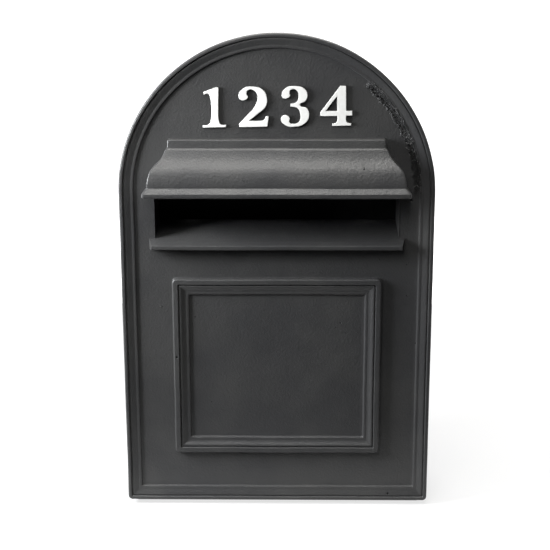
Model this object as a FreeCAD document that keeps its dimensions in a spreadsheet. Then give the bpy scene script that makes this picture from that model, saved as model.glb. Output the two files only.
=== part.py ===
import FreeCAD, Part
import os
import Sketcher

# Wall mounted post box: a cast front that is also the door, on a fabricated steel housing.
# Frame: +Z up, the front faces -Y, X = 0 is the middle, Z = 0 is the base.
# Y = 0 is half way between the wall and the tip of the hood.

# Driving sizes in millimetres, one row each: name, value, what it is.
SIZES = (
    ("door_width", 330, "across the cast front"),
    ("arch_height", 348, "base to the centre of the arch"),
    ("door_lift", 5, "base to the bottom edge of the cast front"),
    ("panel_wall", 4, "thickness of the cast panel"),
    ("corner_round", 4.5, "bottom corners of the cast front"),
    ("skirt_wall", 3.5, "rain skirt behind the rim"),
    ("skirt_length", 6, "rain skirt, behind the rear face"),
    ("rim_width", 18.4, "moulding round the edge of the front"),
    ("square_width", 20.2, "moulding of the raised square"),
    ("moulding_height", 6, "moulding above the panel"),
    ("edge_bevel", 1, "outer arris of a moulding"),
    ("fillet_width", 4.6, "flat outer band of a moulding"),
    ("groove_width", 1.4, "groove beside the flat band"),
    ("groove_depth", 1.4, "groove beside the flat band"),
    ("crown_drop", 0.7, "start of the ogee, below the flat band"),
    ("ogee_width", 6.6, "ogee of a moulding, across"),
    ("ogee_turn", 17, "half the turn of each arc of the moulding, degrees"),
    ("foot_height", 2.1, "foot of the ogee and the ledge inside it, above the panel"),
    ("bead_width", 2.2, "bead at the foot of the ogee"),
    ("bead_rise", 0.6, "top of the bead, above the ledge"),
    ("step_width", 1.4, "slope from the ledge down to the panel, across"),
    ("square_margin", 53.5, "raised square, inside the edge of the front"),
    ("square_bottom", 60.6, "base to the raised square"),
    ("square_height", 196.6, "raised square, outside"),
    ("hood_top", 406, "base to the top of the hood"),
    ("hood_margin", 63.8, "start of the mitred returns, inside the edge of the front"),
    ("hood_wall", 3.2, "thickness of the hood"),
    ("crown_reach", 11, "flat band of the hood, from the panel"),
    ("band_drop", 9.6, "bottom of the band, below the hood top"),
    ("band_ledge_width", 0.9, "small ledge under the band"),
    ("bend_reach", 21.5, "middle of the hood's ogee, from the panel"),
    ("bend_drop", 23.4, "middle of the hood's ogee, below the hood top"),
    ("hollow_turn", 12, "half the turn of the hood's hollow arc, degrees"),
    ("swell_turn", 21, "half the turn of the hood's round arc, degrees"),
    ("ogee_reach", 31.8, "foot of the hood's ogee, from the panel"),
    ("ogee_drop", 44.5, "foot of the hood's ogee, below the hood top"),
    ("quirk_depth", 1, "quirk between the ogee and the lip"),
    ("quirk_drop", 46.8, "quirk, below the hood top"),
    ("lip_reach", 36.4, "tip of the hood, from the panel"),
    ("lip_drop", 50.4, "upper arris of the lip, below the hood top"),
    ("hood_drop", 57.4, "underside of the lip, below the hood top"),
    ("lip_round", 2, "lower arris of the lip"),
    ("slot_margin", 36.5, "each end of the letter slot, inside the edge of the front"),
    ("slot_bottom", 300, "base to the letter slot at the panel"),
    ("throat_wall", 3.5, "ramp and cheeks behind the slot"),
    ("throat_depth", 45, "ramp, behind the face of the panel"),
    ("ramp_rise", 12, "ramp, over the depth of the throat"),
    ("cheek_top", 347, "base to the top of the cheeks"),
    ("sill_lap", 6.3, "sill at the panel, beyond each end of the slot"),
    ("sill_reach", 14, "sill, from the panel"),
    ("sill_fall", 3.7, "slope of the sill, over its reach"),
    ("sill_nose", 4.8, "height of the sill's front edge"),
    ("sill_taper", 3.5, "each end of the sill, from the panel to its nose"),
    ("sill_foot", 11, "underside of the sill at the panel, below the slot"),
    ("sheet_wall", 1.5, "steel sheet of the housing"),
    ("wrap_inset", 6.5, "side of the housing, inside the edge of the front"),
    ("wrap_depth", 120, "housing, front to back"),
    ("bend_round", 4, "outer bend of the housing's bottom corners"),
    ("back_wall", 2, "thickness of the back plate"),
    ("frame_width", 11.5, "front frame, inside the housing"),
    ("seal_edge", 6.5, "seal, inside the outer face of the housing"),
    ("seal_width", 5.5, "seal strip"),
    ("seal_wall", 2.4, "seal strip when closed"),
    ("seal_gap", 0.1, "seal to the rear face of the front"),
    ("wall_hole_radius", 3.25, "four holes for the wall screws"),
    ("wall_hole_across", 200, "wall holes, centre to centre"),
    ("wall_hole_up", 260, "wall holes, centre to centre"),
    ("wall_hole_height", 90, "base to the lower wall holes"),
        ("pivot_setback", 4.5, "hinge axis, behind the skirt"),
    ("open_limit", 110, "opening angle at which the ears meet the side, degrees"),
    ("ear_height", 14, "hinge ear"),
    ("ear_gap", 0.25, "hinge ear to the side of the housing"),
    ("lower_hinge_height", 80, "base to the middle of the lower hinge"),
    ("upper_hinge_height", 270, "base to the middle of the upper hinge"),
    ("pin_radius", 1.5, "hinge pin"),
    ("run_gap", 0.05, "running clearance, on the radius"),
    ("washer_wall", 0.8, "hinge washer"),
    ("washer_gap", 0.05, "hinge washer to its neighbours"),
    ("knuckle_height", 10, "each knuckle of a hinge bracket"),
    ("leaf_reach", 26, "bracket leaf, behind the hinge axis"),
    ("leaf_wall", 1.5, "bracket leaf"),
    ("leaf_notch", 5.5, "room for the ear in the leaf, behind the hinge axis"),
    ("pin_head_radius", 2.75, "head of the hinge pin"),
    ("pin_head_height", 1.5, "head of the hinge pin"),
    ("pin_tail", 2, "hinge pin below the lower knuckle"),
    ("clip_wall", 0.6, "push-on clip of a hinge pin"),
    ("clip_radius", 2.9, "push-on clip of a hinge pin"),
    ("clip_gap", 0.2, "push-on clip, below the knuckle"),
    ("lock_height", 190, "base to the axis of the lock"),
    ("lock_setback", 26, "axis of the lock, behind the front of the housing"),
    ("barrel_radius", 9.5, "lock barrel"),
    ("barrel_flat", 8, "flats of the lock barrel, from its axis"),
    ("barrel_length", 17.5, "lock barrel, inside the outer face of the housing"),
    ("head_radius", 11.5, "head of the lock"),
    ("head_height", 4, "head of the lock"),
    ("head_bevel", 0.6, "bevel round the head of the lock"),
    ("plug_radius", 5.8, "turning plug of the lock"),
    ("keyway_height", 7, "keyway"),
    ("keyway_width", 1.6, "keyway"),
    ("keyway_depth", 9, "keyway"),
    ("square_side", 7, "square end of the plug"),
    ("nut_across", 24, "lock nut across its flats"),
    ("nut_height", 4.5, "lock nut"),
    ("spring_wall", 0.8, "spring washer under the cam screw"),
    ("spring_radius", 3.6, "spring washer under the cam screw"),
    ("stop_wall", 1, "stop washer"),
    ("stop_radius", 6.2, "stop washer"),
    ("stop_tab", 8, "tip of the stop washer's tab"),
    ("stop_tab_half", 2.5, "half width of the stop washer's tab"),
    ("stop_nib", 2, "width of each stop nib on the barrel"),
    ("stop_gap", 0.2, "stop nib to the tab"),
    ("nib_inset", 0.5, "stop nib, outside the bore of the barrel"),
    ("nib_edge", 0.1, "stop nib, inside the flat of the barrel"),
    ("cam_wall", 2, "lock cam"),
    ("cam_hub", 8, "lock cam round its axis"),
    ("cam_half", 6, "half width of the lock cam"),
    ("cam_reach", 24, "tip of the lock cam, from its axis"),
    ("cam_bevel", 2, "bevelled corners of the lock cam's tip"),
    ("cam_gap", 0.1, "clearance between the pieces on the plug's end"),
    ("catch_wall", 2, "catch plate"),
    ("catch_width", 18, "catch plate"),
    ("catch_margin", 31, "middle of the catch plate, inside the edge of the front"),
    ("catch_gap", 1.5, "cam to the lip of the catch"),
    ("catch_above", 2, "tip of the cam to the arm of the catch"),
    ("catch_lip", 14, "lip of the catch, below its arm"),
    ("catch_leg", 30, "leg of the catch, above its arm"),
    ("catch_bend", 1, "inner bend of the catch plate"),
    ("pad_height", 4, "cast pad under the catch"),
    ("pad_margin", 1, "cast pad beside the catch"),
    ("pad_skip", 4, "cast pad, above the arm of the catch"),
    ("screw_radius", 2, "catch screws and cam screw"),
    ("screw_across", 7, "hexagon heads of the catch screws and cam screw"),
    ("screw_head_height", 2.8, "catch screws and cam screw"),
    ("screw_reach", 6, "catch screws, into the casting"),
    ("screw_first", 12, "first catch screw, above the arm"),
    ("screw_pitch", 12, "catch screws, centre to centre"),
    ("screw_drift", 0.05, "clearance of a screw in its threaded hole"),
    ("screw_free", 0.15, "clearance of a screw in a plain hole"),
    ("screw_room", 0.5, "threaded hole, past the tip of its screw"),
    ("overcut", 1, "how far a cut runs past the solid"),
)

# Places and sizes that follow from the driving ones.
PLACES = (
    ("depth", "sizes.back_wall + sizes.wrap_depth + sizes.seal_wall + sizes.seal_gap"
              " + sizes.panel_wall + sizes.lip_reach"),
    ("wall_y", "depth / 2"),
    ("wrap_rear", "wall_y - sizes.back_wall"),
    ("wrap_front", "wrap_rear - sizes.wrap_depth"),
    ("door_rear", "wrap_front - sizes.seal_wall - sizes.seal_gap"),
    ("door_face", "door_rear - sizes.panel_wall"),
    ("door_half", "sizes.door_width / 2"),
    ("wrap_half", "door_half - sizes.wrap_inset"),
    ("wrap_inner", "wrap_half - sizes.sheet_wall"),
    ("pivot_x", "-(door_half - sizes.wrap_inset / 2)"),
    ("pivot_y", "door_rear + sizes.skirt_length + sizes.pivot_setback"),
    ("ear_round", "sizes.wrap_inset / 2 - sizes.ear_gap"),
    ("ear_half", "sizes.ear_height / 2"),
    ("washer_low", "ear_half + sizes.washer_gap"),
    ("knuckle_low", "washer_low + sizes.washer_wall + sizes.washer_gap"),
    ("knuckle_high", "knuckle_low + sizes.knuckle_height"),
    ("ogee_start", "sizes.fillet_width + sizes.groove_width"),
    ("ogee_end", "ogee_start + sizes.ogee_width"),
    ("bead_end", "ogee_end + sizes.bead_width"),
    ("step_buried", "sizes.step_width * sizes.panel_wall / 2 / sizes.foot_height"),
    ("ogee_top", "sizes.moulding_height - sizes.crown_drop"),
    ("ogee_chord", "sqrt(pow(ogee_end - ogee_start; 2) + pow(ogee_top - sizes.foot_height; 2)) / 2"),
    ("ogee_radius", "ogee_chord / 2 / sin(sizes.ogee_turn)"),
    ("bead_top", "sizes.foot_height + sizes.bead_rise"),
    ("hollow_chord", "sqrt(pow(sizes.bend_reach - sizes.crown_reach - sizes.band_ledge_width; 2)"
                     " + pow(sizes.bend_drop - sizes.band_drop; 2))"),
    ("hollow_radius", "hollow_chord / 2 / sin(sizes.hollow_turn)"),
    ("swell_chord", "sqrt(pow(sizes.ogee_reach - sizes.bend_reach; 2)"
                    " + pow(sizes.ogee_drop - sizes.bend_drop; 2))"),
    ("swell_radius", "swell_chord / 2 / sin(sizes.swell_turn)"),
    ("square_half", "door_half - sizes.square_margin"),
    ("hood_half", "door_half - sizes.hood_margin"),
    ("slot_half", "door_half - sizes.slot_margin"),
    ("sill_half", "slot_half + sizes.sill_lap"),
    ("lock_y", "wrap_front + sizes.lock_setback"),
    ("stop_rear", "sizes.barrel_length + sizes.cam_gap"),
    ("cam_rear", "stop_rear + sizes.stop_wall + sizes.cam_gap"),
    ("plug_end", "cam_rear + sizes.cam_wall"),
    ("catch_middle", "door_half - sizes.catch_margin"),
    ("catch_low", "sizes.lock_height + sizes.cam_reach + sizes.catch_above"),
    ("catch_front", "door_rear + sizes.pad_height"),
    ("catch_reach", "lock_y + sizes.cam_half + sizes.catch_gap + sizes.catch_wall - catch_front"),
)


def fill_sheets(doc):
    """Put the driving sizes in one sheet and what follows from them in another."""
    sizes = doc.addObject("Spreadsheet::Sheet", "sizes")
    for row, (name, value, meaning) in enumerate(SIZES, start=1):
        sizes.set(f"A{row}", str(value))
        sizes.setAlias(f"A{row}", name)
        sizes.set(f"B{row}", meaning)
    places = doc.addObject("Spreadsheet::Sheet", "places")
    for row, (name, formula) in enumerate(PLACES, start=1):
        places.set(f"A{row}", "=" + formula)
        places.setAlias(f"A{row}", name)
    doc.recompute()
    return places


DOC = FreeCAD.newDocument("post_box")
SHEET = fill_sheets(DOC)
NODES = []


def figure(formula):
    """The number that a formula of the sheets gives."""
    return float(SHEET.evalExpression(formula))


def new_body(label, x="0", y="0", z="0"):
    """An empty sub-part, placed by formulas and kept as a node."""
    body = DOC.addObject("PartDesign::Body", label)
    body.Label = label
    body.setExpression("Placement.Base.x", x)
    body.setExpression("Placement.Base.y", y)
    body.setExpression("Placement.Base.z", z)
    NODES.append(body)
    return body


def loose_body(name, x="0", y="0", z="0"):
    """A body that goes into a group and isn't a node by itself."""
    body = new_body(name, x, y, z)
    NODES.remove(body)
    return body


def origin_plane(body, role):
    """One of the three planes of the body's own origin."""
    return [item for item in body.Origin.OriginFeatures if item.Role == role][0]


def new_sketch(body, name, role, offset="0"):
    """An empty sketch on an origin plane, moved along the plane's normal by a formula."""
    sketch = body.newObject("Sketcher::SketchObject", name)
    sketch.AttachmentSupport = [(origin_plane(body, role), "")]
    sketch.MapMode = "FlatFace"
    sketch.setExpression("AttachmentOffset.Base.z", offset)
    return sketch


def pin_point(sketch, item, end, across, up):
    """Hold a point of the sketch at two formulas."""
    for kind, formula in (("DistanceX", across), ("DistanceY", up)):
        index = sketch.addConstraint(Sketcher.Constraint(kind, -1, 1, item, end, figure(formula)))
        sketch.setExpression(f"Constraints[{index}]", formula)


def arc_between(start, finish, radius, turn):
    """The shorter arc from start to finish, turning left or right."""
    chord = finish - start
    aside = FreeCAD.Vector(-chord.y, chord.x, 0)
    if turn == "right":
        aside = -aside
    rise = max(radius ** 2 - (chord.Length / 2) ** 2, 0) ** 0.5
    centre = start + chord / 2 + aside / chord.Length * rise
    middle = centre - aside / chord.Length * radius
    return Part.Arc(start, middle, finish)


def draw(sketch, corners, closed=True):
    """Join corners, each (across, up) or (across, up, radius, turn) where an arc leaves it."""
    points = [FreeCAD.Vector(figure(c[0]), figure(c[1]), 0) for c in corners]
    count = len(corners) if closed else len(corners) - 1
    ends = []
    for index in range(count):
        corner = corners[index]
        start, finish = points[index], points[(index + 1) % len(points)]
        if len(corner) == 2:
            item = sketch.addGeometry(Part.LineSegment(start, finish))
            ends.append((item, 1, 2))
        else:
            item = sketch.addGeometry(arc_between(start, finish, figure(corner[2]), corner[3]))
            ends.append((item, 1, 2) if corner[3] == "left" else (item, 2, 1))
            held = sketch.addConstraint(Sketcher.Constraint("Radius", item, figure(corner[2])))
            sketch.setExpression(f"Constraints[{held}]", corner[2])
        pin_point(sketch, item, ends[-1][1], corner[0], corner[1])
    for before, after in zip(ends, ends[1:]):
        sketch.addConstraint(Sketcher.Constraint("Coincident", before[0], before[2], after[0], after[1]))
    if closed:
        last, first = ends[-1], ends[0]
        sketch.addConstraint(Sketcher.Constraint("Coincident", last[0], last[2], first[0], first[1]))
    else:
        pin_point(sketch, ends[-1][0], ends[-1][2], corners[-1][0], corners[-1][1])


def draw_circle(sketch, across, up, radius):
    """A circle held by its centre and radius."""
    centre = FreeCAD.Vector(figure(across), figure(up), 0)
    circle = Part.Circle(centre, FreeCAD.Vector(0, 0, 1), figure(radius))
    item = sketch.addGeometry(circle)
    pin_point(sketch, item, 3, across, up)
    held = sketch.addConstraint(Sketcher.Constraint("Radius", item, figure(radius)))
    sketch.setExpression(f"Constraints[{held}]", radius)


def arch(half, low, centre, bend=None):
    """Corners of an outline with an arched top, and rounded at the bottom if bend is given."""
    if bend is None:
        foot = [(f"-({half})", low), (half, low)]
    else:
        foot = [
            (f"-({half}) + {bend}", low),
            (f"{half} - ({bend})", low, bend, "left"),
            (half, f"{low} + {bend}"),
        ]
    top = [
        (half, centre, half, "left"),
        ("0", f"{centre} + {half}", half, "left"),
        (f"-({half})", centre),
    ]
    if bend is not None:
        top.append((f"-({half})", f"{low} + {bend}", bend, "left"))
    return foot + top


def box_corners(left, low, right, high):
    """Corners of an upright rectangle."""
    return [(left, low), (right, low), (right, high), (left, high)]


def add_pad(body, name, sketch, length, reverse=False, both=False):
    """Grow the sketch along its normal, against it, or both ways."""
    pad = body.newObject("PartDesign::Pad", name)
    pad.Profile = sketch
    pad.SideType = "Symmetric" if both else "One side"
    pad.Reversed = reverse
    pad.setExpression("Length", length)
    DOC.recompute()
    return pad


def add_pocket(body, name, sketch, length, along=False, both=False):
    """Cut the sketch against its normal, along it, or both ways, and see that it cuts."""
    before = body.Shape.Volume
    pocket = body.newObject("PartDesign::Pocket", name)
    pocket.Profile = sketch
    pocket.SideType = "Symmetric" if both else "One side"
    pocket.Reversed = along
    pocket.setExpression("Length", length)
    DOC.recompute()
    if body.Shape.Volume >= before:
        raise ValueError(f"{name} cuts nothing")
    return pocket


def add_mirror(body, name, feature):
    """Repeat a feature on the other side of the middle."""
    mirror = body.newObject("PartDesign::Mirrored", name)
    mirror.Originals = [feature]
    mirror.MirrorPlane = (origin_plane(body, "YZ_Plane"), [""])
    body.Tip = mirror
    DOC.recompute()
    return mirror


def add_turning(body, name, sketch, axis):
    """Revolve the sketch about an axis of the body's origin."""
    turning = body.newObject("PartDesign::Revolution", name)
    turning.Profile = sketch
    turning.ReferenceAxis = (origin_plane(body, axis), [""])
    turning.Angle = 360
    DOC.recompute()
    return turning


def moulding_corners(edge, width):
    """Section of a moulding whose outer edge lies at height edge: band, groove, ogee, bead, ledge."""
    bury = "sizes.panel_wall / 2"
    low = "sizes.moulding_height - sizes.edge_bevel"
    middle = "(places.ogee_start + places.ogee_end) / 2"
    return [
        (bury, edge),
        (f"-({low})", edge),
        ("-sizes.moulding_height", f"{edge} + sizes.edge_bevel"),
        ("-sizes.moulding_height", f"{edge} + sizes.fillet_width"),
        ("-(sizes.moulding_height - sizes.groove_depth)",
         f"{edge} + sizes.fillet_width + sizes.groove_width / 2"),
        ("-places.ogee_top", f"{edge} + places.ogee_start", "places.ogee_radius", "right"),
        ("-(places.ogee_top + sizes.foot_height) / 2", f"{edge} + {middle}", "places.ogee_radius", "left"),
        ("-sizes.foot_height", f"{edge} + places.ogee_end"),
        ("-places.bead_top", f"{edge} + places.ogee_end + sizes.bead_width / 2"),
        ("-sizes.foot_height", f"{edge} + places.bead_end"),
        ("-sizes.foot_height", f"{edge} + {width} - sizes.step_width"),
        (bury, f"{edge} + {width} + places.step_buried"),
    ]


def add_moulding(body, name, edge, width, path):
    """Sweep the moulding along the right half of a path with mitred corners, and mirror it."""
    section = new_sketch(body, name + "_section", "YZ_Plane")
    draw(section, moulding_corners(edge, width))
    route = new_sketch(body, name + "_path", "XZ_Plane")
    draw(route, path, closed=False)
    DOC.recompute()
    sweep = body.newObject("PartDesign::AdditivePipe", name)
    sweep.Profile = section
    sweep.Spine = (route, [f"Edge{i + 1}" for i in range(len(path) - 1)])
    sweep.Transition = "Right corner"
    DOC.recompute()
    add_mirror(body, name + "_left", sweep)


def hood_chain(inset, foot):
    """Hood section from its top to its foot: (reach, height, arc radius, how it curves)."""
    def height(drop):
        return f"sizes.hood_top - {inset} - {drop}"
    chain = [
        (f"sizes.crown_reach - {inset}", f"sizes.hood_top - {inset}"),
        (f"sizes.crown_reach - {inset}", height("sizes.band_drop")),
        (f"sizes.crown_reach + sizes.band_ledge_width - {inset}", height("sizes.band_drop"),
         "places.hollow_radius", "hollow"),
        (f"sizes.bend_reach - {inset}", height("sizes.bend_drop"), "places.swell_radius", "round"),
        (f"sizes.ogee_reach - {inset}", height("sizes.ogee_drop")),
    ]
    return chain + foot


def lip_chain():
    """The quirk and the lip under the hood's ogee."""
    return [
        ("sizes.ogee_reach - sizes.quirk_depth", "sizes.hood_top - sizes.quirk_drop"),
        ("sizes.lip_reach", "sizes.hood_top - sizes.lip_drop"),
        ("sizes.lip_reach", "sizes.hood_top - sizes.hood_drop + sizes.lip_round",
         "sizes.lip_round", "round"),
        ("sizes.lip_reach - sizes.lip_round", "sizes.hood_top - sizes.hood_drop"),
    ]


def side_view(chain):
    """The chain as corners of a sketch that looks along X."""
    turns = {"hollow": "right", "round": "left"}
    return [(f"-({c[0]})", c[1]) if len(c) == 2 else (f"-({c[0]})", c[1], c[2], turns[c[3]])
            for c in chain]


def front_view(chain):
    """The chain as corners of a sketch that looks along Y, for the mitred return on the right."""
    turns = {"hollow": "left", "round": "right"}
    reach = [f"places.hood_half + {c[0]}" for c in chain]
    return [(r, c[1]) if len(c) == 2 else (r, c[1], c[2], turns[c[3]])
            for r, c in zip(reach, chain)]


def add_mitred_block(body, name, chain, back, low, waste_start):
    """A bar with the chain as its section, whose two ends are cut to the same section."""
    section = new_sketch(body, name + "_section", "YZ_Plane")
    draw(section, side_view(chain) + [(back, low), (back, chain[0][1])])
    add_pad(body, name, section, "2 * (places.hood_half + sizes.lip_reach)", both=True)
    far = "places.hood_half + sizes.lip_reach + sizes.overcut"
    waste = new_sketch(body, name + "_end", "XZ_Plane", waste_start)
    over = f"{chain[0][1]} + sizes.overcut"
    under = f"{chain[-1][1]} - sizes.overcut"
    outline = front_view(chain)
    draw(waste, [(outline[0][0], over)] + outline + [(outline[-1][0], under), (far, under), (far, over)])
    deep = f"sizes.lip_reach + sizes.overcut - ({waste_start})"
    cut = add_pocket(body, name + "_return", waste, deep, along=True)
    add_mirror(body, name + "_return_left", cut)


def hood_core():
    """The core that hollows the hood, open behind and below, drawn in the casting's own frame."""
    core = loose_body("hood_core")
    bottom = "sizes.hood_top - sizes.hood_drop - sizes.overcut"
    foot = [("sizes.ogee_reach - sizes.hood_wall", bottom)]
    back = "sizes.panel_wall + sizes.overcut"
    add_mitred_block(core, "core", hood_chain("sizes.hood_wall", foot), back, bottom, f"-({back})")
    return core


def add_throat(body):
    """Sill, ramp and cheeks of the letter slot."""
    nose_high = "sizes.slot_bottom - sizes.sill_fall"
    under = "sizes.sill_foot"
    sill = new_sketch(body, "sill_section", "YZ_Plane")
    draw(sill, [
        ("sizes.panel_wall / 2", "sizes.slot_bottom"),
        ("0", "sizes.slot_bottom"),
        ("-sizes.sill_reach", nose_high),
        ("-sizes.sill_reach", f"{nose_high} - sizes.sill_nose"),
        ("0", f"sizes.slot_bottom - {under}"),
        ("sizes.panel_wall / 2", f"sizes.slot_bottom - {under}"),
    ])
    add_pad(body, "sill", sill, "2 * places.sill_half", both=True)
    taper = new_sketch(body, "sill_end", "XY_Plane", f"sizes.slot_bottom - {under} - sizes.overcut")
    edge = "places.sill_half"
    draw(taper, [
        (edge, "0"),
        (f"{edge} - sizes.sill_taper", "-sizes.sill_reach"),
        (f"{edge} - sizes.sill_taper", "-sizes.sill_reach - sizes.overcut"),
        (f"{edge} + sizes.overcut", "-sizes.sill_reach - sizes.overcut"),
        (f"{edge} + sizes.overcut", "0"),
    ])
    cut = add_pocket(body, "sill_mitre", taper, f"{under} + 2 * sizes.overcut", along=True)
    add_mirror(body, "sill_mitre_left", cut)
    rear_high = "sizes.slot_bottom + sizes.ramp_rise"
    ramp = new_sketch(body, "ramp_section", "YZ_Plane")
    draw(ramp, [
        ("0", "sizes.slot_bottom"),
        ("0", "sizes.slot_bottom - sizes.throat_wall"),
        ("sizes.throat_depth", f"{rear_high} - sizes.throat_wall"),
        ("sizes.throat_depth", rear_high),
    ])
    add_pad(body, "ramp", ramp, "2 * (places.slot_half + sizes.throat_wall)", both=True)
    cheek = new_sketch(body, "cheek_section", "YZ_Plane", "places.slot_half")
    draw(cheek, [
        ("sizes.panel_wall / 2", "sizes.slot_bottom - sizes.throat_wall / 2"),
        ("sizes.throat_depth", f"{rear_high} - sizes.throat_wall / 2"),
        ("sizes.throat_depth", "sizes.cheek_top"),
        ("sizes.panel_wall / 2", "sizes.cheek_top"),
    ])
    grown = add_pad(body, "cheek", cheek, "sizes.throat_wall")
    add_mirror(body, "cheek_left", grown)


def add_ear(body, name, middle):
    """A hinge ear behind the left edge, with a heel that stops the door at its open limit."""
    outline = new_sketch(body, name + "_outline", "XY_Plane", f"{middle} - places.ear_half")
    pivot = "places.pivot_x"
    depth = "sizes.panel_wall + sizes.skirt_length + sizes.pivot_setback"
    limit = "sizes.open_limit"
    outer = "sizes.wrap_inset / 2"
    draw(outline, [
        (f"{pivot} - {outer}", "sizes.panel_wall / 2"),
        (f"{pivot} + places.ear_round", "sizes.panel_wall / 2"),
        (f"{pivot} + places.ear_round", depth, "places.ear_round", "left"),
        (f"{pivot} + places.ear_round * cos({limit})", f"{depth} + places.ear_round * sin({limit})"),
        (f"{pivot} - {outer}", f"{depth} + (places.ear_round + {outer} * cos({limit})) / sin({limit})"),
    ])
    draw_circle(outline, pivot, depth, "sizes.pin_radius + sizes.run_gap")
    add_pad(body, name, outline, "sizes.ear_height")


def add_catch_pad(body):
    """The pad under the catch plate, with its two threaded holes."""
    reach = "sizes.catch_width / 2"
    low = "places.catch_low + sizes.pad_skip"
    high = "places.catch_low + sizes.catch_wall + sizes.catch_leg + sizes.pad_margin"
    pad = new_sketch(body, "pad_outline", "XZ_Plane", "-(sizes.panel_wall / 2)")
    draw(pad, box_corners(f"places.catch_middle - {reach} - sizes.pad_margin", low,
                          f"places.catch_middle + {reach} + sizes.pad_margin", high))
    add_pad(body, "catch_pad", pad, "sizes.panel_wall / 2 + sizes.pad_height", reverse=True)
    holes = new_sketch(body, "pad_holes", "XZ_Plane", "-(sizes.panel_wall + sizes.pad_height)")
    for step in ("0", "sizes.screw_pitch"):
        draw_circle(holes, "places.catch_middle", f"places.catch_low + sizes.screw_first + {step}",
                    "sizes.screw_radius + sizes.screw_drift")
    add_pocket(body, "catch_threads", holes, "sizes.screw_reach + sizes.screw_room", along=True)


def make_front_casting():
    """The cast front, which is the door: panel, rim, raised square, hood, sill and throat."""
    core = hood_core()
    body = new_body("front_casting", y="places.door_face")
    face = new_sketch(body, "panel_outline", "XZ_Plane", "-sizes.panel_wall")
    draw(face, arch("places.door_half", "sizes.door_lift", "sizes.arch_height"))
    add_pad(body, "panel", face, "sizes.panel_wall")
    add_moulding(body, "rim", "sizes.door_lift", "sizes.rim_width", [
        ("0", "sizes.door_lift"),
        ("places.door_half", "sizes.door_lift"),
        ("places.door_half", "sizes.arch_height", "places.door_half", "left"),
        ("0", "sizes.arch_height + places.door_half"),
    ])
    add_moulding(body, "square", "sizes.square_bottom", "sizes.square_width", [
        ("0", "sizes.square_bottom"),
        ("places.square_half", "sizes.square_bottom"),
        ("places.square_half", "sizes.square_bottom + sizes.square_height"),
        ("0", "sizes.square_bottom + sizes.square_height"),
    ])
    skirt = new_sketch(body, "skirt_outline", "XZ_Plane", "-(sizes.panel_wall / 2)")
    inner = "places.door_half - sizes.skirt_wall"
    draw(skirt, [
        (f"-({inner})", "sizes.door_lift"),
        (f"-({inner})", "sizes.arch_height", inner, "right"),
        ("0", f"sizes.arch_height + {inner}", inner, "right"),
        (inner, "sizes.arch_height"),
        (inner, "sizes.door_lift"),
        ("places.door_half", "sizes.door_lift"),
        ("places.door_half", "sizes.arch_height", "places.door_half", "left"),
        ("0", "sizes.arch_height + places.door_half", "places.door_half", "left"),
        ("-places.door_half", "sizes.arch_height"),
        ("-places.door_half", "sizes.door_lift"),
    ])
    add_pad(body, "skirt", skirt, "sizes.panel_wall / 2 + sizes.skirt_length", reverse=True)
    bottom = "sizes.hood_top - sizes.hood_drop"
    add_mitred_block(body, "hood", hood_chain("0", lip_chain()), "sizes.panel_wall / 2", bottom, "0")
    before = body.Shape.Volume
    hollow = body.newObject("PartDesign::Boolean", "hollow")
    hollow.Type = "Cut"
    hollow.Group = [core]
    body.Tip = hollow
    DOC.recompute()
    if hollow.Shape.Volume > before - core.Shape.Volume / 2:
        raise ValueError("the core doesn't hollow the hood")
    slot = new_sketch(body, "slot_outline", "XZ_Plane", "-(sizes.panel_wall + sizes.overcut)")
    draw(slot, box_corners("-places.slot_half", "sizes.slot_bottom", "places.slot_half", bottom))
    add_pocket(body, "slot", slot, "sizes.panel_wall + 2 * sizes.overcut", along=True)
    add_throat(body)
    for name, middle in (("ear_low", "sizes.lower_hinge_height"), ("ear_high", "sizes.upper_hinge_height")):
        add_ear(body, name, middle)
    add_catch_pad(body)
    round_bottom_corners(body)


def round_bottom_corners(body):
    """Take the two bottom corners of the front off to their radius."""
    rear = "sizes.panel_wall + sizes.skirt_length + sizes.overcut"
    corner = new_sketch(body, "corner_waste", "XZ_Plane", f"-({rear})")
    edge = "places.door_half"
    low = "sizes.door_lift"
    draw(corner, [
        (f"{edge} - sizes.corner_round", low, "sizes.corner_round", "left"),
        (edge, f"{low} + sizes.corner_round"),
        (f"{edge} + sizes.overcut", f"{low} + sizes.corner_round"),
        (f"{edge} + sizes.overcut", f"{low} - sizes.overcut"),
        (f"{edge} - sizes.corner_round", f"{low} - sizes.overcut"),
    ])
    through = f"{rear} + sizes.moulding_height + sizes.overcut"
    cut = add_pocket(body, "corner_cut", corner, through, along=True)
    add_mirror(body, "corner_cut_left", cut)


def make_housing_wrap():
    """One strip of steel: floor, sides and arched top, with its holes."""
    body = new_body("housing_wrap", y="places.wrap_front")
    outline = new_sketch(body, "wrap_outline", "XZ_Plane")
    draw(outline, arch("places.wrap_half", "0", "sizes.arch_height", "sizes.bend_round"))
    inner_bend = "(sizes.bend_round - sizes.sheet_wall)"
    draw(outline, arch("places.wrap_inner", "sizes.sheet_wall", "sizes.arch_height", inner_bend))
    add_pad(body, "wrap", outline, "sizes.wrap_depth", reverse=True)
    cut_lock_hole(body)


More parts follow.
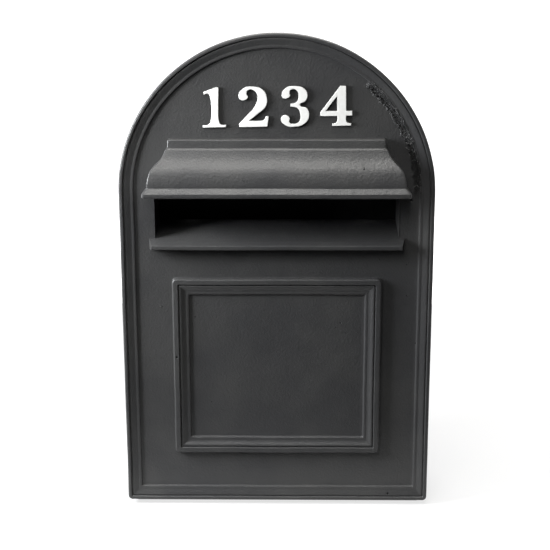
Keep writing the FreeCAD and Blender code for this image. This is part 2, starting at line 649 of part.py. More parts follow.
def cut_lock_hole(body):
    """The hole with two flats that keeps the lock barrel from turning."""
    radius = "(sizes.barrel_radius + sizes.screw_free)"
    flat = "(sizes.barrel_flat + sizes.screw_free)"
    wide = f"sqrt(pow({radius}; 2) - pow({flat}; 2))"
    hole = new_sketch(body, "lock_hole", "YZ_Plane", "places.wrap_inner - sizes.overcut")
    draw(hole, [
        (f"sizes.lock_setback - {wide}", f"sizes.lock_height - {flat}"),
        (f"sizes.lock_setback + {wide}", f"sizes.lock_height - {flat}", radius, "left"),
        (f"sizes.lock_setback + {radius}", "sizes.lock_height", radius, "left"),
        (f"sizes.lock_setback + {wide}", f"sizes.lock_height + {flat}"),
        (f"sizes.lock_setback - {wide}", f"sizes.lock_height + {flat}", radius, "left"),
        (f"sizes.lock_setback - {radius}", "sizes.lock_height", radius, "left"),
    ])
    add_pocket(body, "lock_cut", hole, "sizes.sheet_wall + 2 * sizes.overcut", along=True)


def make_back_plate():
    """Flat back with four holes for the wall screws."""
    body = new_body("back_plate", y="places.wrap_rear")
    outline = new_sketch(body, "back_outline", "XZ_Plane")
    draw(outline, arch("places.wrap_half", "0", "sizes.arch_height", "sizes.bend_round"))
    for across in ("-sizes.wall_hole_across / 2", "sizes.wall_hole_across / 2"):
        for up in ("sizes.wall_hole_height", "sizes.wall_hole_height + sizes.wall_hole_up"):
            draw_circle(outline, across, up, "sizes.wall_hole_radius")
    add_pad(body, "back", outline, "sizes.back_wall", reverse=True)


def make_front_frame():
    """Flat ring inside the front of the wrap, which stiffens it and carries the seal."""
    body = new_body("front_frame", y="places.wrap_front")
    outline = new_sketch(body, "frame_outline", "XZ_Plane")
    inner_bend = "(sizes.bend_round - sizes.sheet_wall)"
    draw(outline, arch("places.wrap_inner", "sizes.sheet_wall", "sizes.arch_height", inner_bend))
    draw(outline, arch("places.wrap_inner - sizes.frame_width", "sizes.sheet_wall + sizes.frame_width",
                       "sizes.arch_height"))
    add_pad(body, "frame", outline, "sizes.sheet_wall", reverse=True)


def make_seal_strip():
    """Rubber strip between the front frame and the door."""
    body = new_body("seal_strip", y="places.wrap_front")
    outline = new_sketch(body, "seal_outline", "XZ_Plane")
    draw(outline, arch("places.wrap_half - sizes.seal_edge", "sizes.seal_edge", "sizes.arch_height"))
    inset = "sizes.seal_edge + sizes.seal_width"
    draw(outline, arch(f"places.wrap_half - ({inset})", inset, "sizes.arch_height"))
    add_pad(body, "seal", outline, "sizes.seal_wall")


def make_hinge_bracket(label, middle):
    """Leaf welded to the side of the housing, with a knuckle above and below the ear."""
    body = new_body(label, "places.pivot_x", "places.pivot_y", middle)
    face = "sizes.wrap_inset / 2"
    leaf = new_sketch(body, "leaf_outline", "YZ_Plane", f"{face} - sizes.leaf_wall")
    notch = "(places.ear_half + sizes.washer_gap + sizes.washer_wall)"
    high = "places.knuckle_high"
    draw(leaf, [
        ("0", f"-{high}"),
        ("sizes.leaf_reach", f"-{high}"),
        ("sizes.leaf_reach", high),
        ("0", high),
        ("0", notch),
        ("sizes.leaf_notch", notch),
        ("sizes.leaf_notch", f"-{notch}"),
        ("0", f"-{notch}"),
    ])
    add_pad(body, "leaf", leaf, "sizes.leaf_wall")
    for name, low in (("knuckle_top", "places.knuckle_low"), ("knuckle_bottom", f"-{high}")):
        ring = new_sketch(body, name + "_outline", "XY_Plane", low)
        draw_circle(ring, "0", "0", "places.ear_round")
        add_pad(body, name, ring, "sizes.knuckle_height")
    bore = new_sketch(body, "bore_outline", "XY_Plane")
    draw_circle(bore, "0", "0", "sizes.pin_radius + sizes.run_gap")
    add_pocket(body, "bore", bore, f"2 * ({high} + sizes.overcut)", both=True)


def make_hinge_pin(label, middle):
    """Plain headed pin."""
    body = new_body(label, "places.pivot_x", "places.pivot_y", middle)
    outline = new_sketch(body, "pin_outline", "XZ_Plane")
    seat = "(places.knuckle_high + sizes.washer_gap)"
    draw(outline, [
        ("0", f"-(places.knuckle_high + sizes.pin_tail)"),
        ("sizes.pin_radius", f"-(places.knuckle_high + sizes.pin_tail)"),
        ("sizes.pin_radius", seat),
        ("sizes.pin_head_radius", seat),
        ("sizes.pin_head_radius", f"{seat} + sizes.pin_head_height"),
        ("0", f"{seat} + sizes.pin_head_height"),
    ])
    add_turning(body, "pin", outline, "Z_Axis")


def add_ring(body, name, low, wall, outer, inner):
    """A flat ring about the hinge axis whose underside lies at low."""
    ring = new_sketch(body, f"{name}_outline", "XY_Plane", low)
    draw_circle(ring, "0", "0", outer)
    draw_circle(ring, "0", "0", inner)
    add_pad(body, name, ring, wall)


def collect(label, bodies):
    """Identical small pieces kept as one node."""
    group = DOC.addObject("Part::Compound", label)
    group.Label = label
    group.Links = bodies
    DOC.recompute()
    NODES.append(group)


def make_hinge_rings(label, low, wall, outer):
    """Two rings on the hinge pins, one at each hinge, kept as one node."""
    rings = []
    for side, middle in (("low", "sizes.lower_hinge_height"), ("high", "sizes.upper_hinge_height")):
        body = loose_body(f"{label}_{side}", "places.pivot_x", "places.pivot_y", middle)
        add_ring(body, "ring", low, wall, outer, "sizes.pin_radius + sizes.run_gap")
        rings.append(body)
    collect(label, rings)


def lock_body(label):
    """A sub-part on the lock's axis, with X = 0 at the outer face of the housing."""
    return new_body(label, "places.wrap_half", "places.lock_y", "sizes.lock_height")


def make_lock_barrel():
    """Barrel with a bevelled head, two flats, a bore for the plug and two stop nibs."""
    body = lock_body("lock_barrel")
    outline = new_sketch(body, "barrel_outline", "XZ_Plane")
    bore = "sizes.plug_radius + sizes.run_gap"
    draw(outline, [
        ("-sizes.barrel_length", bore),
        ("sizes.head_height", bore),
        ("sizes.head_height", "sizes.head_radius - sizes.head_bevel"),
        ("sizes.head_height - sizes.head_bevel", "sizes.head_radius"),
        ("0", "sizes.head_radius"),
        ("0", "sizes.barrel_radius"),
        ("-sizes.barrel_length", "sizes.barrel_radius"),
    ])
    add_turning(body, "barrel", outline, "X_Axis")
    flats = new_sketch(body, "flat_outline", "YZ_Plane")
    far = "sizes.barrel_radius + sizes.overcut"
    for low, high in ((f"-({far})", "-sizes.barrel_flat"), ("sizes.barrel_flat", far)):
        draw(flats, box_corners(f"-({far})", low, far, high))
    add_pocket(body, "flats", flats, "sizes.barrel_length + sizes.overcut")
    nibs = new_sketch(body, "nib_outline", "YZ_Plane", "-sizes.barrel_length")
    near = "sizes.stop_tab_half + sizes.stop_gap"
    low = "sizes.plug_radius + sizes.run_gap + sizes.nib_inset"
    high = "sizes.barrel_flat - sizes.nib_edge"
    draw(nibs, box_corners(f"-({high})", f"-({near} + sizes.stop_nib)", f"-({low})", f"-({near})"))
    draw(nibs, box_corners(near, low, f"{near} + sizes.stop_nib", high))
    add_pad(body, "nibs", nibs, "sizes.stop_wall", reverse=True)


def make_lock_plug():
    """Turning plug with a keyway and a square end with a threaded hole."""
    body = lock_body("lock_plug")
    outline = new_sketch(body, "plug_outline", "YZ_Plane", "-sizes.barrel_length")
    draw_circle(outline, "0", "0", "sizes.plug_radius")
    add_pad(body, "plug", outline, "sizes.barrel_length + sizes.head_height - sizes.run_gap")
    square = new_sketch(body, "square_outline", "YZ_Plane", "-sizes.barrel_length")
    half = "sizes.square_side / 2"
    draw(square, box_corners(f"-{half}", f"-{half}", half, half))
    add_pad(body, "square_end", square, "places.plug_end - sizes.barrel_length", reverse=True)
    keyway = new_sketch(body, "keyway_outline", "YZ_Plane", "sizes.head_height")
    high = "sizes.keyway_height / 2"
    side = "sizes.keyway_width / 2"
    draw(keyway, box_corners(f"-{side}", f"-{high}", side, high))
    add_pocket(body, "keyway", keyway, "sizes.keyway_depth")
    thread = new_sketch(body, "thread_outline", "YZ_Plane", "-places.plug_end")
    draw_circle(thread, "0", "0", "sizes.screw_radius + sizes.screw_drift")
    add_pocket(body, "thread", thread, "sizes.screw_reach + sizes.screw_room", along=True)


def draw_hexagon(sketch, across):
    """A hexagon about the origin, given across its flats."""
    flat = f"{across} / 2"
    point = f"{across} / sqrt(3)"
    draw(sketch, [
        (point, "0"),
        (f"{point} / 2", flat),
        (f"-{point} / 2", flat),
        (f"-{point}", "0"),
        (f"-{point} / 2", f"-{flat}"),
        (f"{point} / 2", f"-{flat}"),
    ])


def make_lock_nut():
    """Hexagon nut that clamps the barrel to the side of the housing."""
    body = lock_body("lock_nut")
    outline = new_sketch(body, "nut_outline", "YZ_Plane", "-sizes.sheet_wall")
    draw_hexagon(outline, "sizes.nut_across")
    draw_circle(outline, "0", "0", "sizes.barrel_radius + sizes.run_gap")
    add_pad(body, "nut", outline, "sizes.nut_height", reverse=True)


def make_stop_washer():
    """Washer on the plug's square whose tab meets the barrel's nibs a quarter turn apart."""
    body = lock_body("stop_washer")
    outline = new_sketch(body, "disc_outline", "YZ_Plane", "-places.stop_rear")
    draw_circle(outline, "0", "0", "sizes.stop_radius")
    add_pad(body, "disc", outline, "sizes.stop_wall", reverse=True)
    tab = new_sketch(body, "tab_outline", "YZ_Plane", "-places.stop_rear")
    draw(tab, box_corners("-sizes.stop_tab", "-sizes.stop_tab_half", "0", "sizes.stop_tab_half"))
    add_pad(body, "tab", tab, "sizes.stop_wall", reverse=True)
    cut_square_hole(body, "-places.stop_rear", "sizes.stop_wall")


def cut_square_hole(body, place, wall):
    """The hole that fits the plug's square end."""
    hole = new_sketch(body, "square_hole", "YZ_Plane", f"{place} + sizes.overcut")
    half = "(sizes.square_side / 2 + sizes.run_gap)"
    draw(hole, box_corners(f"-{half}", f"-{half}", half, half))
    add_pocket(body, "square_cut", hole, f"{wall} + 2 * sizes.overcut")


def make_lock_cam():
    """Cam that points forward when the lock is open and up behind the catch when it is locked."""
    body = lock_body("lock_cam")
    hub = new_sketch(body, "hub_outline", "YZ_Plane", "-places.cam_rear")
    draw_circle(hub, "0", "0", "sizes.cam_hub")
    add_pad(body, "hub", hub, "sizes.cam_wall", reverse=True)
    arm = new_sketch(body, "arm_outline", "YZ_Plane", "-places.cam_rear")
    half = "sizes.cam_half"
    tip = "-(sizes.cam_reach - sizes.cam_bevel)"
    draw(arm, [
        ("0", half),
        (tip, half),
        ("-sizes.cam_reach", f"{half} - sizes.cam_bevel"),
        ("-sizes.cam_reach", f"-({half} - sizes.cam_bevel)"),
        (tip, f"-{half}"),
        ("0", f"-{half}"),
    ])
    add_pad(body, "arm", arm, "sizes.cam_wall", reverse=True)
    cut_square_hole(body, "-places.cam_rear", "sizes.cam_wall")


def add_screw(body, plane, reach, reverse):
    """Hexagon head on one side of the plane, where its seat is, and the shank on the other."""
    head = new_sketch(body, "head_outline", plane)
    draw_hexagon(head, "sizes.screw_across")
    add_pad(body, "head", head, "sizes.screw_head_height", reverse=reverse)
    shank = new_sketch(body, "shank_outline", plane)
    draw_circle(shank, "0", "0", "sizes.screw_radius")
    add_pad(body, "shank", shank, reach, reverse=not reverse)


def make_cam_screw():
    """Screw that holds the cam on the plug, with its spring washer."""
    seat = "places.wrap_half - places.plug_end - sizes.cam_gap"
    washer = new_body("spring_washer", seat, "places.lock_y", "sizes.lock_height")
    ring = new_sketch(washer, "ring_outline", "YZ_Plane")
    draw_circle(ring, "0", "0", "sizes.spring_radius")
    draw_circle(ring, "0", "0", "sizes.screw_radius + sizes.screw_free")
    add_pad(washer, "ring", ring, "sizes.spring_wall", reverse=True)
    screw = new_body("cam_screw", f"{seat} - sizes.spring_wall", "places.lock_y", "sizes.lock_height")
    add_screw(screw, "YZ_Plane", "sizes.screw_reach", True)


def make_catch_screws():
    """Two screws through the catch plate into the casting."""
    screws = []
    for index, step in enumerate(("0", "sizes.screw_pitch"), start=1):
        body = loose_body(f"catch_screw_{index}", "places.catch_middle",
                          "places.catch_front + sizes.catch_wall",
                          f"places.catch_low + sizes.screw_first + {step}")
        add_screw(body, "XZ_Plane", "sizes.catch_wall + sizes.screw_reach", True)
        screws.append(body)
    collect("catch_screws", screws)


def make_catch_plate():
    """Bent strip on the door: a leg on its pad, an arm over the cam and a lip behind it."""
    body = new_body("catch_plate", "places.catch_middle", "places.catch_front", "places.catch_low")
    outline = new_sketch(body, "strip_outline", "YZ_Plane")
    wall = "sizes.catch_wall"
    reach = "places.catch_reach"
    inner = "sizes.catch_bend"
    outer = "(sizes.catch_bend + sizes.catch_wall)"
    top = "sizes.catch_wall + sizes.catch_leg"
    draw(outline, [
        ("0", top),
        ("0", outer, outer, "left"),
        (outer, "0"),
        (f"{reach} - {wall} - {inner}", "0", inner, "right"),
        (f"{reach} - {wall}", f"-{inner}"),
        (f"{reach} - {wall}", "-sizes.catch_lip"),
        (reach, "-sizes.catch_lip"),
        (reach, f"{wall} - {outer}", outer, "left"),
        (f"{reach} - {outer}", wall),
        (f"{wall} + {inner}", wall, inner, "right"),
        (wall, f"{wall} + {inner}"),
        (wall, top),
    ])
    add_pad(body, "strip", outline, "sizes.catch_width", both=True)
    holes = new_sketch(body, "screw_holes", "XZ_Plane", "sizes.overcut")
    for step in ("0", "sizes.screw_pitch"):
        draw_circle(holes, "0", f"sizes.screw_first + {step}", "sizes.screw_radius + sizes.screw_free")
    add_pocket(body, "screw_cut", holes, f"{wall} + 2 * sizes.overcut")


def check_objects():
    """Stop if any object failed or any node has no sound shape."""
    for item in DOC.Objects:
        if "Invalid" in item.State or "Error" in item.State:
            raise ValueError(f"{item.Name} is in state {item.State}")
    for node in NODES:
        if node.Shape.isNull() or not node.Shape.isValid():
            raise ValueError(f"{node.Label} has no sound shape")


def write_parts():
    """Write each node to its own file."""
    os.makedirs("parts", exist_ok=True)
    for node in NODES:
        node.Shape.exportStep(f"parts/{node.Label}.step")
        box = node.Shape.BoundBox
        print(f"{node.Label}: {len(node.Shape.Solids)} solids, {node.Shape.Volume:.1f} mm3,"
              f" X {box.XMin:.2f} {box.XMax:.2f} Y {box.YMin:.2f} {box.YMax:.2f}"
              f" Z {box.ZMin:.2f} {box.ZMax:.2f}")


def build():
    """Make every sub-part, the fixed housing first."""
    make_back_plate()
    make_housing_wrap()
    make_front_frame()
    make_seal_strip()
    for side, middle in (("lower", "sizes.lower_hinge_height"), ("upper", "sizes.upper_hinge_height")):
        make_hinge_bracket(f"hinge_bracket_{side}", middle)
        make_hinge_pin(f"hinge_pin_{side}", middle)
    make_hinge_rings("hinge_washers", "-(places.washer_low + sizes.washer_wall)", "sizes.washer_wall",
                     "places.ear_round")
    make_hinge_rings("pin_clips", "-(places.knuckle_high + sizes.clip_gap + sizes.clip_wall)",
                     "sizes.clip_wall", "sizes.clip_radius")
    make_lock_barrel()
    make_lock_nut()
    make_front_casting()
    make_catch_plate()
    make_catch_screws()
    make_lock_plug()
    make_stop_washer()
    make_lock_cam()
    make_cam_screw()


build()
DOC.recompute()
check_objects()
write_parts()
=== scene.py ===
import math
import random

import bpy
import numpy as np
from mathutils import Matrix, Vector, noise
from mathutils.geometry import delaunay_2d_cdt


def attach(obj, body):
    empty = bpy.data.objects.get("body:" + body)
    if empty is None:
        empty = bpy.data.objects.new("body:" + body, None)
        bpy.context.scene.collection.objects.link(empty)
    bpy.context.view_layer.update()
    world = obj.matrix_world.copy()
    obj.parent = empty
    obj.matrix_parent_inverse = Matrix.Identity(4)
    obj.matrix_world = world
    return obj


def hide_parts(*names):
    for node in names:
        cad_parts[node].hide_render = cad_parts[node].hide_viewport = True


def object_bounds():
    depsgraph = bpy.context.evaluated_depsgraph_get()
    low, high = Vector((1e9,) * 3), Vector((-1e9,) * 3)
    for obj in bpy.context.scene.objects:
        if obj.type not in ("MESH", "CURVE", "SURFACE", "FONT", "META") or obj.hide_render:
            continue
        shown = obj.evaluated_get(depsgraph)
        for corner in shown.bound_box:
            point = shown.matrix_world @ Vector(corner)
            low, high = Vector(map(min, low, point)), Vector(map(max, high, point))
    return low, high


# The front's lengths are in millimetres in the part's frame until its mesh is made. A point of the
# casting is (x, p, z), where p is how far it stands in front of the panel's face.
# Materials, lamps, the room and the camera are in metres.

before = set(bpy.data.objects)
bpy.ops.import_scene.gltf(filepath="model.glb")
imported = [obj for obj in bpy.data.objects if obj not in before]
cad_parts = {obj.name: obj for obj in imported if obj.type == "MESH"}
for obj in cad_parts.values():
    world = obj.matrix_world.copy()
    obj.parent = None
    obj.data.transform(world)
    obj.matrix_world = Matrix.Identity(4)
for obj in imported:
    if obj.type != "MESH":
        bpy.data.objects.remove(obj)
CAD_LOW, CAD_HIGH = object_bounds()
# The noise vectors start from the clock unless they are seeded.
noise.seed_set(7)

# The front: where its face lies, its outline, its wall and the rain skirt behind its edge.
FACE_Y = -46.05
HALF = 165.0
LOW = 5.0
SPRING = 348.0
CORNER = 4.5
PANEL = 4.0
SKIRT = 3.5
SKIRT_REAR = -10.0

# The mouldings: height, width, flat outer band, height of the bead, and the fillet at the foot.
MOULDING_HIGH = 6.0
RIM_WIDTH = 17.2
RIM_BAND = 3.8
RIM_BEAD = 4.6
SQUARE_WIDTH = 19.5
SQUARE_BAND = 6.2
SQUARE_BEAD = 5.1
FOOT = 1.5

# The raised square's outline and the radius of its outer corners.
SQUARE_HALF = 111.5
SQUARE_LOW = 60.6
SQUARE_HIGH = 257.2
SQUARE_CORNER = 4.6

# The hood: start of its mitred returns, top, underside, wall, and where its sides start.
HOOD_HALF = 101.2
HOOD_TOP = 406.0
HOOD_FOOT = 348.6
HOOD_WALL = 3.2
HOOD_SEAT = -0.6
UNDER_OUTER = 34.2
UNDER_INNER = 28.6

# The letter slot, its sill, and the ramp and cheeks behind it.
SLOT_HALF = 128.5
SLOT_LOW = 300.0
SILL_HALF = 134.8
SILL_TAPER = 0.25
THROAT = 45.0
RAMP_RISE = 12.0
RAMP_WALL = 3.6
CHEEK_TOP = 347.0
CHEEK_WALL = 3.5
CHEEK_LAP = 0.3
STATIONS = (-PANEL, -THROAT / 3, -THROAT * 2 / 3)

# The hinge: its axis (x, y), the heights of the two ears, and how far the door opens.
PIVOT = (-161.75, -31.55)
HINGES = (80.0, 270.0)
EAR_ROUND = 3.0
EAR_SIDE = 3.25
EAR_HALF = 7.0
EAR_BORE = 1.55
OPEN_LIMIT = 110.0

# The pad under the catch plate: its box (x, z), its height and its two screw holes.
PAD_X = (124.0, 144.0)
PAD_Z = (220.0, 249.0)
PAD_HIGH = 4.0
PAD_HOLES = ((134.0, 228.0), (134.0, 240.0))
PAD_HOLE_RADIUS = 2.05

# The crumbly band beside the rim: radii from the arch's centre and angles (in degrees) up from its
# right end between which it is rough, and how many points carry the roughness.
BAND_LOW, BAND_HIGH = 142.0, 152.0
BAND_FIRST, BAND_LAST = -4.0, 51.5
BAND_POINTS = 3000

# The band's paint in metres and radians: where it starts, is full, fades and ends, across and
# along the band, and along its two patches of painted glints.
PAINT_ACROSS = (0.1420, 0.1440, 0.1500, 0.1515)
PAINT_ALONG = (-0.06, 0.06, 0.85, 0.90)
UPPER_PATCH = (0.48, 0.54, 0.62, 0.68)
LOWER_PATCH = (0.22, 0.30, 0.42, 0.48)

# How widely corners are rounded on the mouldings, the hood, its lip, its inside and the sill.
SOFT_MOULDING = 0.30
SOFT_HOOD = 0.55
SOFT_LIP = 0.42
SOFT_CAVITY = 0.6
SOFT_SILL = 0.40

# How finely flat faces and outlines are divided, and how points are thinned out and merged.
FRONT_SPACING = 5.0
REAR_SPACING = 9.0
BASE_STEPS = 36
SIDE_STEPS = 80
ARCH_STEPS = 190
SKIRT_SIDE_STEPS = 50
SKIRT_ARCH_STEPS = 120
SQUARE_STEPS = 56
SOFT_STEP = 0.12
SLACK = 0.01
MERGE = 1e-5

# The casting's small errors: their size across, how far they reach, and a seed.
WAVES = ((70, 0.30, 3), (22, 0.16, 11), (7.5, 0.07, 29))
MARGIN = 0.02


def arc(start, end, half_turn, left, count):
    """Points of an arc from start to end (both included) that turns by twice half_turn degrees."""
    a, b = Vector(start), Vector(end)
    chord = b - a
    radius = chord.length / 2 / math.sin(math.radians(half_turn))
    side = Vector((-chord.y, chord.x)).normalized()
    if not left:
        side = -side
    centre = (a + b) / 2 + side * math.sqrt(max(radius ** 2 - (chord.length / 2) ** 2, 0))
    first = math.atan2(a.y - centre.y, a.x - centre.x)
    turn = math.radians(2 * half_turn) * (1 if left else -1)
    angles = [first + turn * i / count for i in range(count + 1)]
    return [(centre.x + radius * math.cos(t), centre.y + radius * math.sin(t)) for t in angles]


def soften(points, width):
    """Round the corners of an open polyline as sand casting and paint do, keeping its ends."""
    pts = np.array(points, float)
    seg = np.hypot(*np.diff(pts, axis=0).T)
    at = np.concatenate(([0], np.cumsum(seg)))
    count = int(at[-1] / SOFT_STEP)
    grid = np.linspace(0, at[-1], count + 1)
    line = np.column_stack([np.interp(grid, at, pts[:, k]) for k in (0, 1)])
    reach = int(3 * width / SOFT_STEP)
    weights = np.exp(-0.5 * (np.arange(-reach, reach + 1) * SOFT_STEP / width) ** 2)
    weights /= weights.sum()
    head = 2 * line[0] - line[1:reach + 1][::-1]
    tail = 2 * line[-1] - line[-reach - 1:-1][::-1]
    long = np.vstack([head, line, tail])
    soft = np.column_stack([np.convolve(long[:, k], weights, "valid") for k in (0, 1)])
    soft[0], soft[-1] = line[0], line[-1]
    return thin_out(soft)


def thin_out(line):
    """Drop points that lie within the slack of the line through their neighbours."""
    keep = [0, len(line) - 1]
    stack = [(0, len(line) - 1)]
    while stack:
        a, b = stack.pop()
        if b - a < 2:
            continue
        d = line[b] - line[a]
        away = line[a + 1:b] - line[a]
        off = np.abs(d[0] * away[:, 1] - d[1] * away[:, 0]) / max(np.hypot(*d), 1e-9)
        k = int(np.argmax(off))
        if off[k] > SLACK:
            middle = a + 1 + k
            keep.append(middle)
            stack += [(a, middle), (middle, b)]
    return [tuple(line[i]) for i in sorted(keep)]


def moulding_section(width, band, bead, start):
    """(distance inward from the outer edge, p) of the rim or the raised square, from start."""
    edge = [start, (0, 0), (0.1, 4.6), (1.4, MOULDING_HIGH), (band, MOULDING_HIGH)]
    groove = [(band + 0.9, 3.6), (band + 1.8, bead)]
    ogee = [(band + 3.4, bead - 0.3), (band + 5.8, 3.3), (width - 5.2, 2.4)]
    ledge = [(width - 4.4, 2.6), (width - 2.8, 2.5), (width - 2.1, 2.2)]
    step = [(width - 1.4, 0.2), (width + FOOT, 0)]
    return soften(edge + groove + ogee + ledge + step, SOFT_MOULDING)


def hood_section(inset=0.0):
    """(p, z) of the hood from its top to the foot of its ogee."""
    def at(p, drop):
        return (p - inset, HOOD_TOP - inset - drop)
    ledge, bend, crest, foot = at(13.2, 10.8), at(24.0, 26.0), at(28.4, 31.8), at(31.4, 46.0)
    hollow = arc(ledge, bend, 17, True, 10)
    swell = arc(bend, crest, 9, False, 6)
    fall = arc(crest, foot, 9, False, 8)
    return [at(9.6, 0), at(11.0, 0.8), at(11.5, 9.2)] + hollow + swell[1:] + fall[1:]


def corner_points(cx, cz, radius, first, count):
    """Points of a quarter circle from angle first, leaving both ends in."""
    angles = [math.radians(first + 90 * i / count) for i in range(count + 1)]
    return [(cx + radius * math.cos(t), cz + radius * math.sin(t)) for t in angles]


def circle_points(cx, cy, radius, count):
    """Points of a full circle."""
    angles = [math.tau * k / count for k in range(count)]
    return [(cx + radius * math.cos(t), cy + radius * math.sin(t)) for t in angles]


def half_circle(radius, count):
    """Points of the arch from its right end to its left end."""
    angles = [math.pi * i / count for i in range(count + 1)]
    return [(radius * math.cos(t), SPRING + radius * math.sin(t)) for t in angles]


def line_points(a, b, count):
    """count points from a towards b, b left out."""
    steps = [i / count for i in range(count)]
    return [(a[0] + (b[0] - a[0]) * t, a[1] + (b[1] - a[1]) * t) for t in steps]


def arch_ring(s):
    """Closed outline of the front, moved inward by s."""
    low = LOW + s
    half = HALF - s
    r = max(CORNER - s, 0.7)
    pts = line_points((0, low), (half - r, low), BASE_STEPS)
    pts += corner_points(half - r, low + r, r, -90, 5)
    pts += line_points((half, low + r), (half, SPRING), SIDE_STEPS)[1:]
    pts += half_circle(half, ARCH_STEPS)
    pts += line_points((-half, SPRING), (-half, low + r), SIDE_STEPS)[1:]
    pts += corner_points(-half + r, low + r, r, 180, 5)
    pts += line_points((-half + r, low), (0, low), BASE_STEPS)[1:]
    return pts


def square_ring(s):
    """Closed outline of the raised square, moved inward by s."""
    half, low, high = SQUARE_HALF - s, SQUARE_LOW + s, SQUARE_HIGH - s
    # The corners are round outside, nearly sharp further in and round again at the inner step.
    r = max(SQUARE_CORNER - 0.55 * s, 0.5, 0.25 * (s - 13))
    corners = ((half - r, low + r, -90), (half - r, high - r, 0),
               (-half + r, high - r, 90), (-half + r, low + r, 180))
    quarters = [corner_points(x, z, r, first, 4) for x, z, first in corners]
    pts = []
    for k, quarter in enumerate(quarters):
        following = quarters[(k + 1) % 4]
        pts += quarter
        pts += line_points(quarter[-1], following[0], SQUARE_STEPS)[1:]
    return pts


def open_arch(s, low):
    """Open outline of the two sides and the arch, moved inward by s."""
    half = HALF - s
    right = line_points((half, low), (half, SPRING), SKIRT_SIDE_STEPS)
    left = line_points((-half, SPRING), (-half, low), SKIRT_SIDE_STEPS)[1:]
    return right + half_circle(half, SKIRT_ARCH_STEPS) + left + [(-half, low)]


def inside(q, loop):
    """Even-odd test of a point against a closed outline."""
    x, z = q
    hit = False
    j = len(loop) - 1
    for i in range(len(loop)):
        xi, zi = loop[i]
        xj, zj = loop[j]
        if (zi > z) != (zj > z) and x < (xj - xi) * (z - zi) / (zj - zi) + xi:
            hit = not hit
        j = i
    return hit


def in_sheet(q, outer, holes):
    """Whether a point lies inside an outline and outside its holes."""
    return inside(q, outer) and not any(inside(q, hole) for hole in holes)


def scatter(outer, holes, spacing):
    """Points about a spacing apart all over a sheet."""
    rng = random.Random(7)
    xs, zs = [q[0] for q in outer], [q[1] for q in outer]
    found = []
    x = min(xs) + spacing / 2
    while x < max(xs):
        z = min(zs) + spacing / 2
        while z < max(zs):
            q = (x + rng.uniform(-0.3, 0.3) * spacing, z + rng.uniform(-0.3, 0.3) * spacing)
            if in_sheet(q, outer, holes):
                found.append(q)
            z += spacing
        x += spacing
    return found


def fill(outer, holes, extra=()):
    """Points and triangles of a sheet inside an outline and outside its holes."""
    points, edges = [], []
    for loop in [outer] + list(holes):
        base = len(points)
        points += [Vector(q) for q in loop]
        edges += [(base + i, base + (i + 1) % len(loop)) for i in range(len(loop))]
    points += [Vector(q) for q in extra]
    out, _, tris, _, _, _ = delaunay_2d_cdt(points, edges, [], 1, MERGE)
    keep = []
    for t in tris:
        middle = (sum(out[i][0] for i in t) / len(t), sum(out[i][1] for i in t) / len(t))
        if in_sheet(middle, outer, holes):
            keep.append(tuple(t))
    return out, keep


class Shell:
    """Collects the vertices (x, p, z) and faces of one piece."""

    def __init__(self):
        self.verts = []
        self.faces = []

    def add(self, verts, faces):
        base = len(self.verts)
        self.verts += [tuple(v) for v in verts]
        self.faces += [tuple(base + i for i in f) for f in faces]

    def grid(self, rows, closed=False, flip=False):
        """Quads between rows of equal length. closed joins the last column to the first."""
        width = len(rows[0])
        verts = [v for row in rows for v in row]
        faces = []
        for r in range(len(rows) - 1):
            for c in range(width if closed else width - 1):
                d = (c + 1) % width
                f = (r * width + c, r * width + d, (r + 1) * width + d, (r + 1) * width + c)
                faces.append(f[::-1] if flip else f)
        self.add(verts, faces)

    def caps(self, rows):
        """One flat face at each end of a grid's rows."""
        for side in (0, -1):
            end = [row[side] for row in rows]
            self.add(end, [tuple(range(len(end)))])

    def sheet(self, outer, holes, p, spacing, extra=(), flip=False):
        """A flat sheet at depth p inside outer and outside the holes, with points inside it."""
        out, tris = fill(outer, holes, scatter(outer, holes, spacing) + list(extra))
        self.add([(v[0], p, v[1]) for v in out], [t[::-1] if flip else t for t in tris])

    def prism(self, outline, low, high, axis, holes=()):
        """An outline (u, v) raised from low to high along axis 1 or 2 of (x, p, z)."""
        def place(u, v, w):
            return {1: (u, w, v), 2: (u, v, w)}[axis]
        out, tris = fill(outline, holes)
        self.add([place(v[0], v[1], low) for v in out], [t[::-1] for t in tris])
        self.add([place(v[0], v[1], high) for v in out], tris)
        for k, loop in enumerate([outline] + list(holes)):
            rows = [[place(u, v, w) for u, v in loop] for w in (low, high)]
            self.grid(rows, closed=True, flip=k > 0)


def wander(v):
    """How far a point of the casting strays from its true place, as a vector."""
    x, p, z = v
    out = Vector((0, 0, 0))
    for size, amount, seed in WAVES:
        q = Vector((x / size + seed, p / size * 0.7, z / size - seed))
        out += noise.noise_vector(q) * amount
    return out


def to_metres(verts, stray=True):
    """The part's frame in metres, with the casting's small errors, kept in the CAD box."""
    result = []
    for v in verts:
        d = wander(v) if stray else Vector((0, 0, 0))
        x = min(max(v[0] + d.x, -HALF + MARGIN), HALF - MARGIN)
        y = max(FACE_Y - (v[1] + d.y), CAD_LOW.y * 1000 + MARGIN)
        z = min(max(v[2] + d.z, LOW + MARGIN), SPRING + HALF - MARGIN)
        result.append((x / 1000, y / 1000, z / 1000))
    return result


def finish_mesh(name, mesh, sharp):
    """A smooth shaded object whose edges steeper than sharp degrees stay crisp."""
    mesh.name = name
    mesh.shade_smooth()
    mesh.set_sharp_from_angle(angle=math.radians(sharp))
    obj = bpy.data.objects.new(name, mesh)
    bpy.context.scene.collection.objects.link(obj)
    return obj


def math_node(tree, how, a, b=None, c=None):
    """The output of a math node that is fed from sockets or numbers."""
    made = tree.nodes.new("ShaderNodeMath")
    made.operation = how
    for socket, value in zip(made.inputs, (a, b, c)):
        if isinstance(value, (int, float)):
            socket.default_value = value
        elif value is not None:
            tree.links.new(value, socket)
    return made.outputs[0]


